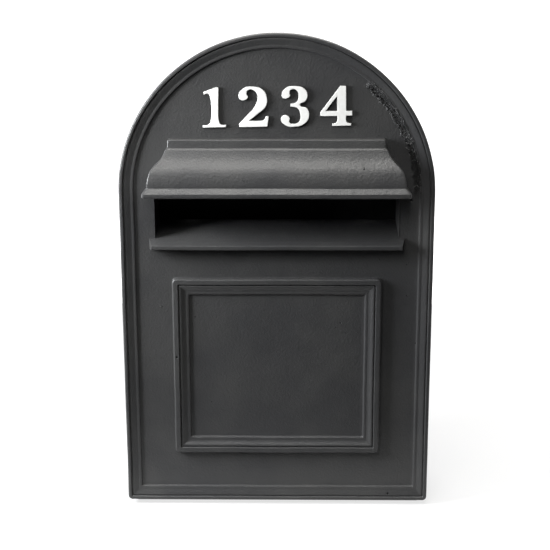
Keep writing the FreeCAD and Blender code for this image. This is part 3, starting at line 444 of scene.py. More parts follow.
class Nodes:
    """A short way to write a material's node tree."""

    def __init__(self, name):
        self.material = bpy.data.materials.new(name)
        self.material.use_nodes = True
        self.tree = self.material.node_tree
        self.shader = self.tree.nodes["Principled BSDF"]
        self.where = self.tree.nodes.new("ShaderNodeTexCoord").outputs["Object"]

    def link(self, a, b):
        self.tree.links.new(a, b)

    def feed(self, socket, value):
        """Set a socket to a number or a colour, or link it."""
        if isinstance(value, (int, float)):
            socket.default_value = value
        elif isinstance(value, tuple):
            socket.default_value = (*value, 1.0)
        else:
            self.link(value, socket)

    def noise(self, scale, detail=4.0, rough=0.5, distortion=0.0):
        made = self.tree.nodes.new("ShaderNodeTexNoise")
        made.inputs["Scale"].default_value = scale
        made.inputs["Detail"].default_value = detail
        made.inputs["Roughness"].default_value = rough
        made.inputs["Distortion"].default_value = distortion
        self.link(self.where, made.inputs["Vector"])
        return made.outputs["Fac"]

    def cells(self, scale):
        made = self.tree.nodes.new("ShaderNodeTexVoronoi")
        made.inputs["Scale"].default_value = scale
        self.link(self.where, made.inputs["Vector"])
        return made.outputs["Distance"]

    def math(self, how, a, b=None, c=None):
        return math_node(self.tree, how, a, b, c)

    def ramp(self, value, low, high, out_low=0.0, out_high=1.0):
        made = self.tree.nodes.new("ShaderNodeMapRange")
        made.interpolation_type = "SMOOTHSTEP"
        made.inputs["From Min"].default_value = low
        made.inputs["From Max"].default_value = high
        made.inputs["To Min"].default_value = out_low
        made.inputs["To Max"].default_value = out_high
        self.link(value, made.inputs["Value"])
        return made.outputs["Result"]

    def mix(self, factor, a, b):
        made = self.tree.nodes.new("ShaderNodeMix")
        made.data_type = "RGBA"
        for key, value in (("Factor", factor), ("A", a), ("B", b)):
            self.feed(made.inputs[key], value)
        return made.outputs["Result"]

    def bump(self, height, distance, strength, normal=None):
        made = self.tree.nodes.new("ShaderNodeBump")
        made.inputs["Strength"].default_value = strength
        made.inputs["Distance"].default_value = distance
        self.link(height, made.inputs["Height"])
        if normal is not None:
            self.link(normal, made.inputs["Normal"])
        return made.outputs["Normal"]

    def split(self):
        made = self.tree.nodes.new("ShaderNodeSeparateXYZ")
        self.link(self.where, made.inputs[0])
        return made.outputs

    def finish(self, color, roughness, normal, **plain):
        """Feed the shader. What is named in plain is the same all over."""
        for name, value in (("Base Color", color), ("Roughness", roughness), ("Normal", normal)):
            self.feed(self.shader.inputs[name], value)
        for name, value in plain.items():
            self.shader.inputs[name.replace("_", " ")].default_value = value
        return self.material


# Casting marks on the front: x, z, radius, how much longer than wide, all in millimetres.
PITS = (
    (122.1, 12.8, 1.3, 1.0), (-107.6, 170.6, 1.5, 1.2), (149.0, 185.4, 0.8, 1.2), (68.0, 208.0, 0.9, 1.0),
    (63.5, 203.0, 0.7, 1.0), (74.0, 196.5, 0.6, 1.0), (-71.0, 118.0, 0.7, 1.0), (140.8, 341.0, 1.6, 1.5),
    (-32.3, 365.8, 0.9, 0.4), (138.4, 238.0, 1.2, 0.7), (137.4, 272.0, 0.8, 1.0),
)
BUMPS = (
    (-123.5, 225.5, 1.1, 1.0), (-118.3, 220.0, 0.9, 1.0), (89.1, 378.0, 1.3, 0.9), (-34.5, 367.2, 0.8, 0.5),
    (20.5, 243.8, 0.8, 0.5), (104.5, 409.0, 1.0, 0.6), (-88.0, 214.0, 0.8, 1.0), (138.8, 273.4, 1.1, 0.8),
    (108.0, 277.5, 0.9, 0.6),
)


def marks(n, x, z, table):
    """One where a mark of the table lies and zero elsewhere."""
    found = None
    for cx, cz, radius, long in table:
        across = n.math("MULTIPLY_ADD", x, 1000.0 / radius, -cx / radius)
        along = n.math("MULTIPLY_ADD", z, 1000.0 / radius / long, -cz / radius / long)
        far = n.math("ADD", n.math("MULTIPLY", across, across), n.math("MULTIPLY", along, along))
        here = n.ramp(far, 0.15, 1.0, 1.0, 0.0)
        found = here if found is None else n.math("MAXIMUM", found, here)
    return found


def window(n, value, start, full, fade, end):
    """One from full to fade, and zero before start and after end."""
    return n.math("MULTIPLY", n.ramp(value, start, full), n.ramp(value, fade, end, 1, 0))


def crumbly_band(n, x, z):
    """Where the crumbly band beside the rim lies, and the share of it that gets pale specks painted in as
    glints of light.
    """
    up = n.math("SUBTRACT", z, SPRING / 1000)
    radius = n.math("SQRT", n.math("ADD", n.math("MULTIPLY", x, x), n.math("MULTIPLY", up, up)))
    angle = n.math("ARCTAN2", up, x)
    reach = n.math("ADD", radius, n.math("MULTIPLY_ADD", n.noise(170, 4, 0.6), 0.007, -0.0035))
    band = n.math("MULTIPLY", window(n, reach, *PAINT_ACROSS), window(n, angle, *PAINT_ALONG))
    patches = n.math("MAXIMUM", window(n, angle, *UPPER_PATCH), window(n, angle, *LOWER_PATCH))
    patches = n.math("MAXIMUM", patches, n.ramp(n.noise(70, 2, 0.5), 0.55, 0.63))
    return band, n.math("MULTIPLY", band, patches)


def pinholes(n, y):
    """Zero in the fine holes that lie sparsely on the front, and one elsewhere."""
    walls = n.ramp(n.cells(300), 0.05, 0.18)
    sparse = n.ramp(n.noise(38, 2, 0.5), 0.54, 0.66)
    face = n.ramp(y, -0.046, -0.044, 1.0, 0.0)
    holes = n.math("MULTIPLY", n.math("MULTIPLY", n.math("SUBTRACT", 1.0, walls), sparse), face)
    return n.math("SUBTRACT", 1.0, holes)


def cast_paint():
    """Satin black paint on a sand casting: lumps, grain, pits with painted shade in them, and one crumbly
    band with painted glints.
    """
    n = Nodes("cast_paint")
    x, y, z = n.split()
    band, patches = crumbly_band(n, x, z)
    pits = marks(n, x, z, PITS)
    bumps = marks(n, x, z, BUMPS)
    grain = n.noise(430, 5, 0.62)
    crumbs = n.noise(640, 6, 0.8)
    normal = n.bump(n.noise(60, 3, 0.5), 0.0016, 0.28)
    normal = n.bump(grain, 0.00055, 0.9, normal)
    normal = n.bump(pinholes(n, y), 0.0003, 0.7, normal)
    normal = n.bump(n.math("SUBTRACT", bumps, pits), 0.0011, 1.0, normal)
    normal = n.bump(n.math("MULTIPLY", crumbs, band), 0.0030, 1.0, normal)
    clouds = n.ramp(n.noise(14, 3, 0.55), 0.35, 0.68)
    # Pale specks in the band's patches are painted glints: highlights of light on the crumbs, put into the
    # base colour.
    painted_glints = n.math("MULTIPLY", patches, n.ramp(crumbs, 0.56, 0.61))
    tone = n.mix(clouds, (0.0425, 0.0427, 0.0438), (0.0530, 0.0530, 0.0525))
    tone = n.mix(n.math("MULTIPLY", n.ramp(grain, 0.62, 0.80), 0.30), tone, (0.075, 0.075, 0.075))
    tone = n.mix(n.math("MULTIPLY", band, 0.75), tone, (0.006, 0.006, 0.006))
    tone = n.mix(painted_glints, tone, (0.34, 0.34, 0.335))
    # The pits are painted near black: painted shade inside them, added to their sunk bump.
    tone = n.mix(pits, tone, (0.004, 0.004, 0.004))
    shine = n.ramp(n.noise(24, 4, 0.6), 0.3, 0.7, 0.27, 0.33)
    shine = n.math("MULTIPLY_ADD", grain, 0.06, shine)
    shine = n.math("MULTIPLY_ADD", band, 0.2, shine)
    return n.finish(tone, shine, normal, Specular_IOR_Level=0.34)


def powder_coat():
    """Black powder coat on sheet steel, with its orange peel."""
    n = Nodes("powder_coat")
    peel = n.noise(900, 2, 0.4)
    dust = n.noise(60, 5, 0.6)
    tone = n.mix(n.ramp(dust, 0.35, 0.75), (0.016, 0.016, 0.017), (0.026, 0.026, 0.027))
    shine = n.ramp(n.noise(30, 3), 0.3, 0.7, 0.36, 0.46)
    return n.finish(tone, shine, n.bump(peel, 0.00012, 0.7), Specular_IOR_Level=0.5)


def zinc():
    """Zinc plated steel with faint spangle and scuffs."""
    n = Nodes("zinc")
    patch = n.cells(260)
    scuff = n.noise(700, 4, 0.7, 1.0)
    stain = n.math("MULTIPLY", n.ramp(n.noise(90, 4), 0.55, 0.75), 0.4)
    tone = n.mix(n.ramp(patch, 0.1, 0.7), (0.50, 0.51, 0.53), (0.64, 0.65, 0.66))
    tone = n.mix(stain, tone, (0.60, 0.58, 0.50))
    shine = n.ramp(scuff, 0.3, 0.8, 0.26, 0.48)
    return n.finish(tone, shine, n.bump(scuff, 0.00004, 0.5), Metallic=1.0)


def chrome():
    """Polished nickel-chrome with fine grain and a few rubbed spots."""
    n = Nodes("chrome")
    rub = n.noise(240, 5, 0.65)
    tone = n.mix(n.ramp(rub, 0.4, 0.8), (0.72, 0.73, 0.75), (0.58, 0.58, 0.58))
    shine = n.ramp(rub, 0.35, 0.8, 0.08, 0.24)
    return n.finish(tone, shine, n.bump(n.noise(1200, 2), 0.00001, 0.4), Metallic=1.0)


def rubber():
    """Matt black foam rubber."""
    n = Nodes("rubber")
    cells = n.cells(1300)
    tone = n.mix(n.ramp(cells, 0.1, 0.6), (0.012, 0.012, 0.012), (0.022, 0.022, 0.022))
    return n.finish(tone, 0.85, n.bump(cells, 0.0002, 0.6))


def nylon():
    """Natural nylon, a little grubby."""
    n = Nodes("nylon")
    grub = n.noise(300, 4, 0.6)
    tone = n.mix(n.ramp(grub, 0.5, 0.8), (0.74, 0.72, 0.66), (0.52, 0.49, 0.43))
    return n.finish(tone, n.ramp(grub, 0.3, 0.8, 0.35, 0.5), n.bump(grub, 0.00005, 0.5))


def white_enamel():
    """Thick off-white enamel brushed on the raised numerals."""
    n = Nodes("white_enamel")
    brushed = n.noise(180, 4, 0.6)
    grime = n.ramp(n.noise(420, 5, 0.7), 0.60, 0.75)
    tone = n.mix(n.ramp(brushed, 0.3, 0.7), (0.86, 0.86, 0.84), (0.80, 0.80, 0.77))
    tone = n.mix(n.math("MULTIPLY", grime, 0.25), tone, (0.45, 0.44, 0.41))
    shine = n.ramp(brushed, 0.3, 0.7, 0.32, 0.45)
    return n.finish(tone, shine, n.bump(brushed, 0.0004, 0.5), Specular_IOR_Level=0.5)


def hood_rows(section, back):
    """Rows of (x, p, z) that follow the section round both mitred returns, from p = back."""
    rows = []
    turns = [math.radians(15 * k) for k in range(1, 6)]
    side = [k / 7 for k in range(8)]
    front = [k / 56 for k in range(57)]
    for p, z in section:
        half = HOOD_HALF + p
        # The corners are rounder at the lip, which stands more than 32 in front of the panel.
        lip = min(max((p - 32.0) / 3.0, 0.0), 1.0)
        r = min(1.4 + 1.5 * lip, max(p - back, 0.1) * 0.4)
        row = [(-half, back + (p - r - back) * t, z) for t in side]
        row += [(-half + r - r * math.cos(t), p - r + r * math.sin(t), z) for t in turns]
        row += [(-half + r + 2 * (half - r) * t, p, z) for t in front]
        row += [(half - r + r * math.sin(t), p - r + r * math.cos(t), z) for t in turns]
        row += [(half, p - r + (back - p + r) * t, z) for t in side]
        rows.append(row)
    return rows


def hood_half_at(section, z):
    """Half width of the hood's outline at height z."""
    zs = [q[1] for q in section][::-1]
    ps = [q[0] for q in section][::-1]
    return HOOD_HALF + float(np.interp(z, zs, ps))


def hood_outside():
    """(p, z) of the hood's outer face, from the panel over its ogee and lip to its underside."""
    lip = [(31.3, 358.3), (32.0, 357.7), (35.1, 354.3), (36.4, 353.0), (36.4, 350.2)]
    lip += [(34.4 + 2 * math.cos(t), 350.2 + 2 * math.sin(t)) for t in (-0.4, -0.8, -1.2)]
    body = soften([(HOOD_SEAT, HOOD_TOP)] + hood_section(), SOFT_HOOD)
    foot = soften([body[-1], *lip, (UNDER_OUTER, HOOD_FOOT)], SOFT_LIP)
    return body + foot[1:]


def hood_inside():
    """(p, z) of the hood's inner face, from its roof to its underside."""
    cavity = hood_section(HOOD_WALL)
    roof = (cavity[0][0] - 7, cavity[0][1])
    return soften([roof] + cavity + [(UNDER_INNER, HOOD_FOOT)], SOFT_CAVITY)


def add_hood(shell, outside, cavity):
    """The mitred ogee hood with its lip and its hollow underside."""
    shell.grid(hood_rows(outside, HOOD_SEAT), flip=True)
    inner_rows = hood_rows([q for q in cavity if q[0] > 1], -PANEL)
    shell.grid(inner_rows)
    top = inner_rows[0]
    middle = len(top) // 2
    shell.grid([top[:middle + 1], top[:middle - 1:-1]], flip=True)
    outer_edge = hood_rows([(UNDER_OUTER, HOOD_FOOT)], HOOD_SEAT)[0]
    inner_edge = hood_rows([(UNDER_INNER, HOOD_FOOT)], -PANEL)[0]
    shell.grid([outer_edge, inner_edge], flip=True)


def rough_points():
    """Close points for the crumbly band beside the rim."""
    rng = random.Random(5)
    pts = []
    for _ in range(BAND_POINTS):
        r = rng.uniform(BAND_LOW, HALF - RIM_WIDTH - FOOT - 0.2)
        a = math.radians(rng.uniform(BAND_FIRST, BAND_LAST))
        pts.append((r * math.cos(a), SPRING + r * math.sin(a)))
    return pts


def crumb(x, z, r, a):
    """How far a point of the crumbly band is raised, fading towards the band's edges."""
    across = min((r - BAND_LOW) / 2.5, (BAND_HIGH - r) / 2, 1)
    along = min((a - BAND_FIRST) / 5, 1, (BAND_LAST - a) / 4)
    coarse = noise.noise(Vector((x / 1.9, z / 1.9, 4.2)))
    fine = noise.noise(Vector((x / 0.9, z / 0.9, 1.2)))
    return across * along * (coarse + 0.6 * fine - 0.25)


def crumble(verts):
    """Raise and sink the points of the crumbly band."""
    out = []
    for x, p, z in verts:
        up = z - SPRING
        r = math.hypot(x, up)
        a = math.degrees(math.atan2(up, x)) if x > 0 else 180
        if -0.3 < p < 3 and BAND_LOW < r < BAND_HIGH and BAND_FIRST < a < BAND_LAST:
            p += crumb(x, z, r, a)
        out.append((x, p, z))
    return out


def opening(low, start, sides):
    """Closed outline of the slot from low up, with the hood's hollow (its right side) above it."""
    right = [(SLOT_HALF, low), (SLOT_HALF, start)] + sides
    half, high = right[-1]
    top = [(half * (1 - 2 * k / 20), high) for k in range(1, 20)]
    bottom = [(-SLOT_HALF + 2 * SLOT_HALF * k / 40, low) for k in range(1, 40)]
    return right + top + [(-x, z) for x, z in right[::-1]] + bottom


def add_panel_front(shell, outside):
    """The panel's face inside the rim, and the field inside the raised square."""
    zs = [HOOD_FOOT + 0.6 + (HOOD_TOP - 1.0 - HOOD_FOOT) * k / 24 for k in range(25)]
    sides = [(hood_half_at(outside, z) - 1.6, z) for z in zs]
    hole = opening(SLOT_LOW - 2, HOOD_FOOT + 0.5, sides)
    rim_foot = arch_ring(RIM_WIDTH + FOOT)
    rough = [q for q in rough_points() if in_sheet(q, rim_foot, [hole])]
    shell.sheet(rim_foot, [hole, square_ring(-FOOT)], 0.0, FRONT_SPACING, rough)
    shell.sheet(square_ring(SQUARE_WIDTH + FOOT), [], 0.0, FRONT_SPACING)


def add_panel_rear(shell, cavity):
    """The panel's rear face, with the slot and the hood's hollow through it."""
    zs = [HOOD_FOOT + 1.2 + (HOOD_TOP - HOOD_WALL - HOOD_FOOT - 1.2) * k / 12 for k in range(13)]
    sides = [(hood_half_at(cavity, z), z) for z in zs]
    hole = opening(ramp_top(-PANEL) - 1.5, HOOD_FOOT, sides)
    shell.sheet(arch_ring(0.05), [hole], -PANEL, REAR_SPACING, flip=True)


def add_rim(shell):
    """Side, rim moulding, and the skirt behind it."""
    section = moulding_section(RIM_WIDTH, RIM_BAND, RIM_BEAD, (0, -PANEL))
    rows = [[(x, p, z) for x, z in arch_ring(s)] for s, p in section]
    shell.grid(rows, closed=True, flip=True)
    top = -PANEL + 0.4
    outer = [(0.0, top), (0.0, SKIRT_REAR + 0.7), (0.25, SKIRT_REAR + 0.2), (0.7, SKIRT_REAR)]
    inner = [(SKIRT - 0.7, SKIRT_REAR), (SKIRT - 0.2, SKIRT_REAR + 0.25), (SKIRT, SKIRT_REAR + 0.8)]
    skirt = outer + inner + [(SKIRT, top)]
    rows = [[(x, p, z) for x, z in open_arch(s, LOW + CORNER)] for s, p in skirt]
    shell.grid(rows, flip=True)
    shell.caps(rows)


def add_square(shell):
    """The raised square."""
    section = moulding_section(SQUARE_WIDTH, SQUARE_BAND, SQUARE_BEAD, (-FOOT, 0))
    rows = [[(x, p, z) for x, z in square_ring(s)] for s, p in section]
    shell.grid(rows, closed=True, flip=True)


def spread(low, high, count):
    """count + 1 even steps from low to high."""
    return [low + (high - low) * k / count for k in range(count + 1)]


def add_sill(shell):
    """The sill with its sloping top and rounded nose."""
    drops = [(0, 0), (7, 1.8), (13.0, 4.6), (13.9, 5.6), (13.9, 9.4), (13.2, 9.9), (0, 11.4), (-0.4, 11.5)]
    rows = []
    for p, z in soften([(p, SLOT_LOW - drop) for p, drop in drops], SOFT_SILL):
        half = SILL_HALF - SILL_TAPER * max(p, 0)
        rows.append([(x, p, z) for x in spread(-half, half, 60)])
    shell.grid(rows, flip=True)
    shell.caps(rows)


def ramp_top(p):
    """Height of the ramp's upper face at depth p."""
    return SLOT_LOW - RAMP_RISE * p / THROAT


def add_ramp(shell):
    """The ramp that leads the letters in."""
    end = ramp_top(-THROAT)
    upper = [(p, ramp_top(p)) for p in (0.0, *STATIONS, -THROAT + 0.6)]
    nose = [(-THROAT, end - 0.4), (-THROAT, end - 3.4)]
    lower = [(p, ramp_top(p) - RAMP_WALL) for p in (-THROAT + 0.4, *STATIONS[::-1])]
    half = SLOT_HALF + 0.2
    shell.grid([[(x, p, z) for x in spread(-half, half, 40)] for p, z in upper + nose + lower])


def add_cheek(shell, sign):
    """One wall beside the ramp: its inner face, its rear and outer faces, its top and its underside."""
    inner, outer = sign * SLOT_HALF, sign * (SLOT_HALF + CHEEK_WALL)
    lap = -PANEL + CHEEK_LAP
    end = -THROAT + 0.4
    rows = [[(inner, CHEEK_LAP, z) for z in spread(ramp_top(CHEEK_LAP) - 2, HOOD_FOOT + 0.2, 12)]]
    for p in (*STATIONS, end):
        rows.append([(inner, p, z) for z in spread(ramp_top(p) - 2, CHEEK_TOP, 12)])
    shell.grid(rows, flip=sign < 0)
    back = [(inner, end), (inner + sign * 0.5, -THROAT), (outer - sign * 0.5, -THROAT), (outer, end)]
    back += [(outer, STATIONS[2]), (outer, STATIONS[1]), (outer, lap)]
    rows = [[(x, p, z) for z in spread(ramp_top(p) - RAMP_WALL, CHEEK_TOP, 12)] for x, p in back]
    shell.grid(rows, flip=sign < 0)
    depths = (lap, STATIONS[1], STATIONS[2], -THROAT)
    lid = [[(x, p, CHEEK_TOP) for x in (inner, outer)] for p in depths]
    shell.grid(lid, flip=sign > 0)
    under = [[(x, p, ramp_top(p) - RAMP_WALL) for x in (inner - sign, outer)] for p in depths]
    shell.grid(under, flip=sign < 0)


def add_ears(shell):
    """The two hinge ears, bored for their pins, with the heel that stops the door."""
    px, py = PIVOT
    deep = FACE_Y - py
    limit = math.radians(OPEN_LIMIT)
    base = -PANEL + 1
    outline = [(px - EAR_SIDE, base), (px + EAR_ROUND, base)]
    for k in range(13):
        turn = limit * k / 12
        outline.append((px + EAR_ROUND * math.cos(turn), deep - EAR_ROUND * math.sin(turn)))
    heel = (EAR_ROUND + EAR_SIDE * math.cos(limit)) / math.sin(limit)
    outline.append((px - EAR_SIDE, deep - heel))
    bore = circle_points(px, deep, EAR_BORE, 24)
    for middle in HINGES:
        shell.prism(outline[::-1], middle - EAR_HALF, middle + EAR_HALF, 2, [bore])


def add_catch_pad(shell):
    """The pad under the catch plate, with its screw holes."""
    left, right = PAD_X
    low, high = PAD_Z
    box = [(left, low), (right, low), (right, high), (left, high)]
    holes = [circle_points(x, z, PAD_HOLE_RADIUS, 20) for x, z in PAD_HOLES]
    shell.prism(box, -PANEL - PAD_HIGH, -PANEL + 0.5, 1, holes)


def make_cast_front(material):
    """The whole cast front as one piece, which stands for its CAD node."""
    outside, cavity = hood_outside(), hood_inside()
    shell = Shell()
    add_hood(shell, outside, cavity)
    add_rim(shell)
    add_square(shell)
    add_panel_front(shell, outside)
    add_panel_rear(shell, cavity)
    add_sill(shell)
    add_ramp(shell)
    for sign in (-1, 1):
        add_cheek(shell, sign)
    rigid = Shell()
    add_ears(rigid)
    add_catch_pad(rigid)
    verts = to_metres(crumble(shell.verts)) + to_metres(rigid.verts, stray=False)
    base = len(shell.verts)
    faces = shell.faces + [tuple(base + i for i in f) for f in rigid.faces]
    mesh = bpy.data.meshes.new("cast_front")
    mesh.from_pydata(verts, [], faces)
    mesh.validate()
    mesh.materials.append(material)
    obj = finish_mesh("cast_front", mesh, 55)
    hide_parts("front_casting")
    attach(obj, "door")


# Each figure: a width and closed contours of (x, z, kind), in hundredths of the height;
# kind "c" bends smoothly through the point and "v" is a corner.
FIGURES = {
    "1": (54, [[
        (4, 0, "v"), (50, 0, "v"), (50, 7, "v"), (40, 8, "c"), (37, 14, "c"), (37, 100, "v"),
        (30, 100, "v"), (6, 89, "v"), (8, 82, "v"), (16, 84, "c"), (19, 79, "c"), (19, 14, "c"),
        (15, 8, "c"), (4, 7, "v")]]),
    "2": (66, [[
        (4, 0, "v"), (60, 0, "v"), (63, 27, "v"), (57, 27, "v"), (53, 18, "c"), (46, 16, "c"),
        (25, 16, "v"), (42, 33, "c"), (57, 50, "c"), (60, 72, "c"), (52, 93, "c"), (32, 101, "c"),
        (13, 96, "c"), (4, 80, "c"), (7, 69, "c"), (16, 67, "c"), (23, 74, "c"), (20, 84, "c"),
        (24, 92, "c"), (34, 91, "c"), (41, 76, "c"), (37, 55, "c"), (21, 31, "c"), (4, 9, "v")]]),
    "3": (62, [[
        (5, 80, "c"), (13, 96, "c"), (31, 101, "c"), (50, 94, "c"), (56, 77, "c"), (51, 62, "c"),
        (41, 54, "c"), (54, 46, "c"), (59, 29, "c"), (52, 9, "c"), (31, -1, "c"), (11, 4, "c"),
        (3, 18, "c"), (7, 28, "c"), (16, 28, "c"), (21, 20, "c"), (20, 11, "c"), (29, 7, "c"),
        (39, 13, "c"), (41, 29, "c"), (36, 45, "c"), (22, 50, "v"), (22, 57, "v"), (34, 62, "c"),
        (38, 77, "c"), (33, 91, "c"), (23, 91, "c"), (21, 84, "c"), (22, 76, "c"), (15, 70, "c"),
        (7, 72, "c")]]),
    "4": (66, [[
        (52, 100, "v"), (52, 38, "v"), (64, 38, "v"), (64, 25, "v"), (52, 25, "v"), (52, 14, "c"),
        (55, 8, "c"), (62, 7, "v"), (62, 0, "v"), (24, 0, "v"), (24, 7, "v"), (31, 8, "c"),
        (34, 14, "c"), (34, 25, "v"), (1, 25, "v"), (1, 35, "v"), (40, 100, "v")],
        [(34, 38, "v"), (34, 74, "v"), (12, 38, "v")]]),
}

# The numerals on the arch: the text, their height, how much they are widened, the space between
# them, their foot and middle, how far the row leans, how far they are raised and their rounding.
NUMERALS = "1234"
NUMERAL_HIGH = 41.0
NUMERAL_STRETCH = 1.28
NUMERAL_GAP = 9.0
NUMERAL_FOOT = 417.8
NUMERAL_MIDDLE = 0.5
NUMERAL_SLOPE = 0.012
NUMERAL_TILT = 0.7
RAISED = 3.2
SUNK = 0.25
BEVEL = 0.7


def figure_mesh(name, key):
    """A raised numeral with rounded edges, lying flat at the origin."""
    curve = bpy.data.curves.new(name, "CURVE")
    curve.dimensions = "2D"
    curve.fill_mode = "BOTH"
    curve.extrude = (RAISED / 2 - BEVEL) / 1000
    curve.bevel_depth = BEVEL / 1000
    curve.bevel_resolution = 3
    curve.offset = -BEVEL / 1000
    unit = NUMERAL_HIGH / 100 / 1000
    for contour in FIGURES[key][1]:
        spline = curve.splines.new("BEZIER")
        spline.bezier_points.add(len(contour) - 1)
        for point, (x, z, kind) in zip(spline.bezier_points, contour):
            point.co = (x * unit * NUMERAL_STRETCH, z * unit, 0)
            handle = "AUTO" if kind == "c" else "VECTOR"
            point.handle_left_type = handle
            point.handle_right_type = handle
        spline.use_cyclic_u = True
        spline.resolution_u = 8
    holder = bpy.data.objects.new(name + "_line", curve)
    bpy.context.scene.collection.objects.link(holder)
    bpy.context.view_layer.update()
    mesh = bpy.data.meshes.new_from_object(holder.evaluated_get(bpy.context.evaluated_depsgraph_get()))
    bpy.data.objects.remove(holder)
    return mesh


def make_figure(name, key, left, foot, materials):
    """One numeral on the panel, its face in the first material and its edges in the second."""
    mesh = figure_mesh(name, key)
    turn = Matrix.Rotation(math.radians(90), 4, "X")
    lean = Matrix.Rotation(math.radians(-NUMERAL_TILT), 4, "Y")
    place = Matrix.Translation((left / 1000, (FACE_Y - RAISED / 2 + SUNK) / 1000, foot / 1000))
    mesh.transform(place @ lean @ turn)
    mesh.materials.clear()
    for material in materials:
        mesh.materials.append(material)
    obj = finish_mesh(name, mesh, 40)
    for face in mesh.polygons:
        face.material_index = 0 if face.normal.y < -0.6 else 1
    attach(obj, "door")


def make_numerals(materials):
    """Four plain house numerals where the photo has lettering."""
    widths = [FIGURES[k][0] * NUMERAL_HIGH / 100 * NUMERAL_STRETCH for k in NUMERALS]
    total = sum(widths) + NUMERAL_GAP * (len(NUMERALS) - 1)
    left = NUMERAL_MIDDLE - total / 2
    for i, (key, width) in enumerate(zip(NUMERALS, widths)):
        rise = NUMERAL_SLOPE * (left + width / 2)
        make_figure(f"numeral_{i + 1}", key, left, NUMERAL_FOOT + rise, materials)
        left += width + NUMERAL_GAP


def white_where_seen(name, grey, glow):
    """A pale diffuse surface that looks white to the eye and in reflections, and keeps shadows."""
    material = bpy.data.materials.new(name)
    material.use_nodes = True
    tree = material.node_tree
    tree.nodes.clear()
    out = tree.nodes.new("ShaderNodeOutputMaterial")
    diffuse = tree.nodes.new("ShaderNodeBsdfDiffuse")
    diffuse.inputs["Color"].default_value = (grey, grey, grey, 1)
    light = tree.nodes.new("ShaderNodeEmission")
    light.inputs["Color"].default_value = (1, 1, 1, 1)
    rays = tree.nodes.new("ShaderNodeLightPath").outputs
    seen = math_node(tree, "MAXIMUM", rays["Is Camera Ray"], rays["Is Glossy Ray"])
    seen = math_node(tree, "MAXIMUM", seen, rays["Is Transmission Ray"])
    tree.links.new(math_node(tree, "MULTIPLY", seen, glow), light.inputs["Strength"])
    add = tree.nodes.new("ShaderNodeAddShader")
    tree.links.new(diffuse.outputs[0], add.inputs[0])
    tree.links.new(light.outputs[0], add.inputs[1])
    tree.links.new(add.outputs[0], out.inputs["Surface"])
    return material


# Soft boxes: name, the side and height they shine from (degrees), distance, size, radiance, colour.
LAMPS = (
    ("left_lamp", -73, 21, 0.74, 0.32, 44.0, (0.95, 0.97, 1.0)),
    ("front_lamp", -12, 44, 1.6, 0.70, 5.9, (1.0, 0.995, 0.98)),
    ("top_lamp", -20, 80, 1.6, 0.70, 13.0, (1.0, 0.985, 0.95)),
    ("rear_lamp", 180, 45, 1.9, 1.0, 8.0, (1.0, 1.0, 1.0)),
)
LAMP_AIM = Vector((0, -0.04, 0.27))

# The room, in metres: half its width, y of the table's front edge, of its end and of the backdrop,
# the backdrop's height, and how light the room around them is.
ROOM_HALF = 2.2
ROOM_FRONT = -0.17
ROOM_MIDDLE = 0.8
ROOM_BACK = 2.4
ROOM_TOP = 2.6
ROOM_LIGHT = 0.05


def add_plane(name, first, second, material):
    """One flat rectangle of the room, between two edges given by their y and z."""
    (y0, z0), (y1, z1) = first, second
    corners = [(-ROOM_HALF, y0, z0), (ROOM_HALF, y0, z0), (ROOM_HALF, y1, z1), (-ROOM_HALF, y1, z1)]
    mesh = bpy.data.meshes.new(name)
    mesh.from_pydata(corners, [], [(0, 1, 2, 3)])
    mesh.materials.append(material)
    plane = bpy.data.objects.new(name, mesh)
    bpy.context.scene.collection.objects.link(plane)


def make_room():
    """A pale table, a white ground and backdrop behind it, a dim room and the soft boxes."""
    table = white_where_seen("floor_white", 0.24, 0.74)
    white = white_where_seen("backdrop_white", 0.80, 1.0)
    add_plane("floor", (ROOM_FRONT, 0), (ROOM_MIDDLE, 0), table)
    add_plane("far_floor", (ROOM_MIDDLE, 0), (ROOM_BACK, 0), white)
    add_plane("backdrop", (ROOM_BACK, 0), (ROOM_BACK, ROOM_TOP), white)
    light_world(ROOM_LIGHT)
    for lamp in LAMPS:
        add_lamp(*lamp)


def light_world(level):
    """A dim room that looks white to the eye, and in reflections on its far side."""
    world = bpy.data.worlds.new("studio")
    bpy.context.scene.world = world
    world.use_nodes = True
    tree = world.node_tree
    room = tree.nodes["Background"]
    room.inputs["Color"].default_value = (1, 1, 1, 1)
    rays = tree.nodes.new("ShaderNodeLightPath").outputs
    split = tree.nodes.new("ShaderNodeSeparateXYZ")
    tree.links.new(tree.nodes.new("ShaderNodeTexCoord").outputs["Generated"], split.inputs[0])
    behind = tree.nodes.new("ShaderNodeMapRange")
    behind.inputs["From Min"].default_value = -0.1
    behind.inputs["From Max"].default_value = 0.3
    tree.links.new(split.outputs["Y"], behind.inputs["Value"])
    mirrored = math_node(tree, "MULTIPLY", behind.outputs[0], rays["Is Glossy Ray"])
    seen = math_node(tree, "MAXIMUM", mirrored, rays["Is Camera Ray"])
    strength = math_node(tree, "MULTIPLY_ADD", seen, 1 - level, level)
    tree.links.new(strength, room.inputs["Strength"])


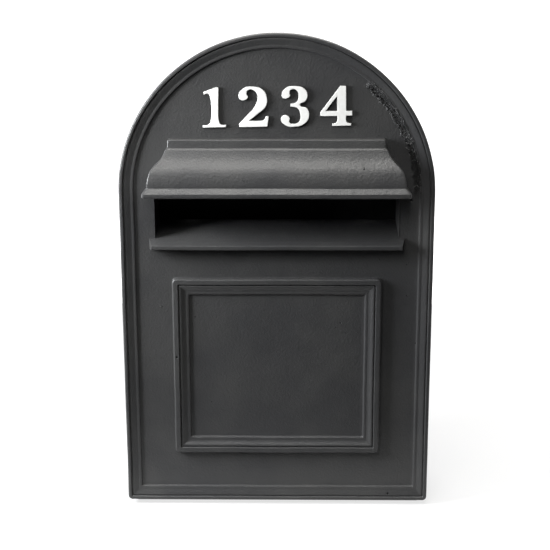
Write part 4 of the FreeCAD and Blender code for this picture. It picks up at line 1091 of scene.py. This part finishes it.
def add_lamp(name, side, height, distance, size, radiance, color):
    """A square soft box that faces the middle of the box from the given side and height."""
    a, b = math.radians(side), math.radians(height)
    away = Vector((math.sin(a) * math.cos(b), -math.cos(a) * math.cos(b), math.sin(b)))
    light = bpy.data.lights.new(name, "AREA")
    light.shape = "SQUARE"
    light.size = size
    light.energy = math.pi * size * size * radiance
    light.color = color
    obj = bpy.data.objects.new(name, light)
    obj.location = LAMP_AIM + away * distance
    obj.rotation_euler = (-away).to_track_quat("-Z", "Y").to_euler()
    bpy.context.scene.collection.objects.link(obj)


# The camera that the outline in the photo gives: where it stands, its turns in degrees, and its
# focal length in pixels of the photo's width.
CAMERA_PLACE = (0.0168, -1.2835, 0.5635)
CAMERA_PITCH = 13.76
CAMERA_YAW = 0.868
CAMERA_ROLL = -0.122
FOCAL_PIXELS = 1200
PHOTO_PIXELS = 550
SENSOR = 36


def make_camera():
    """The camera at the photo's viewing angle."""
    turn = Matrix.Rotation(math.radians(CAMERA_YAW), 4, "Z")
    nod = Matrix.Rotation(math.radians(90 - CAMERA_PITCH), 4, "X")
    tip = Matrix.Rotation(math.radians(CAMERA_ROLL), 4, "Z")
    data = bpy.data.cameras.new("camera")
    data.sensor_width = SENSOR
    data.lens = SENSOR * FOCAL_PIXELS / PHOTO_PIXELS
    data.clip_start = 0.05
    data.clip_end = 50
    camera = bpy.data.objects.new("camera", data)
    camera.matrix_world = Matrix.Translation(CAMERA_PLACE) @ turn @ nod @ tip
    bpy.context.scene.collection.objects.link(camera)
    bpy.context.scene.camera = camera


def dress_cad(finishes):
    """Give each carried-over CAD node its finish."""
    for material, nodes in finishes:
        for node in nodes:
            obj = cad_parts[node]
            if not obj.material_slots:
                obj.data.materials.append(material)
            for holder in obj.material_slots:
                holder.material = material


make_camera()
make_room()
cast = cast_paint()
make_cast_front(cast)
make_numerals((white_enamel(), cast))
dress_cad((
    (powder_coat(), ("housing_wrap", "back_plate", "front_frame",
                     "hinge_bracket_lower", "hinge_bracket_upper")),
    (zinc(), ("hinge_pin_lower", "hinge_pin_upper", "pin_clips", "lock_nut", "catch_plate",
              "catch_screws", "stop_washer", "lock_cam", "spring_washer", "cam_screw")),
    (chrome(), ("lock_barrel", "lock_plug")),
    (nylon(), ("hinge_washers",)),
    (rubber(), ("seal_strip",)),
))
bpy.context.scene.view_settings.view_transform = "Standard"
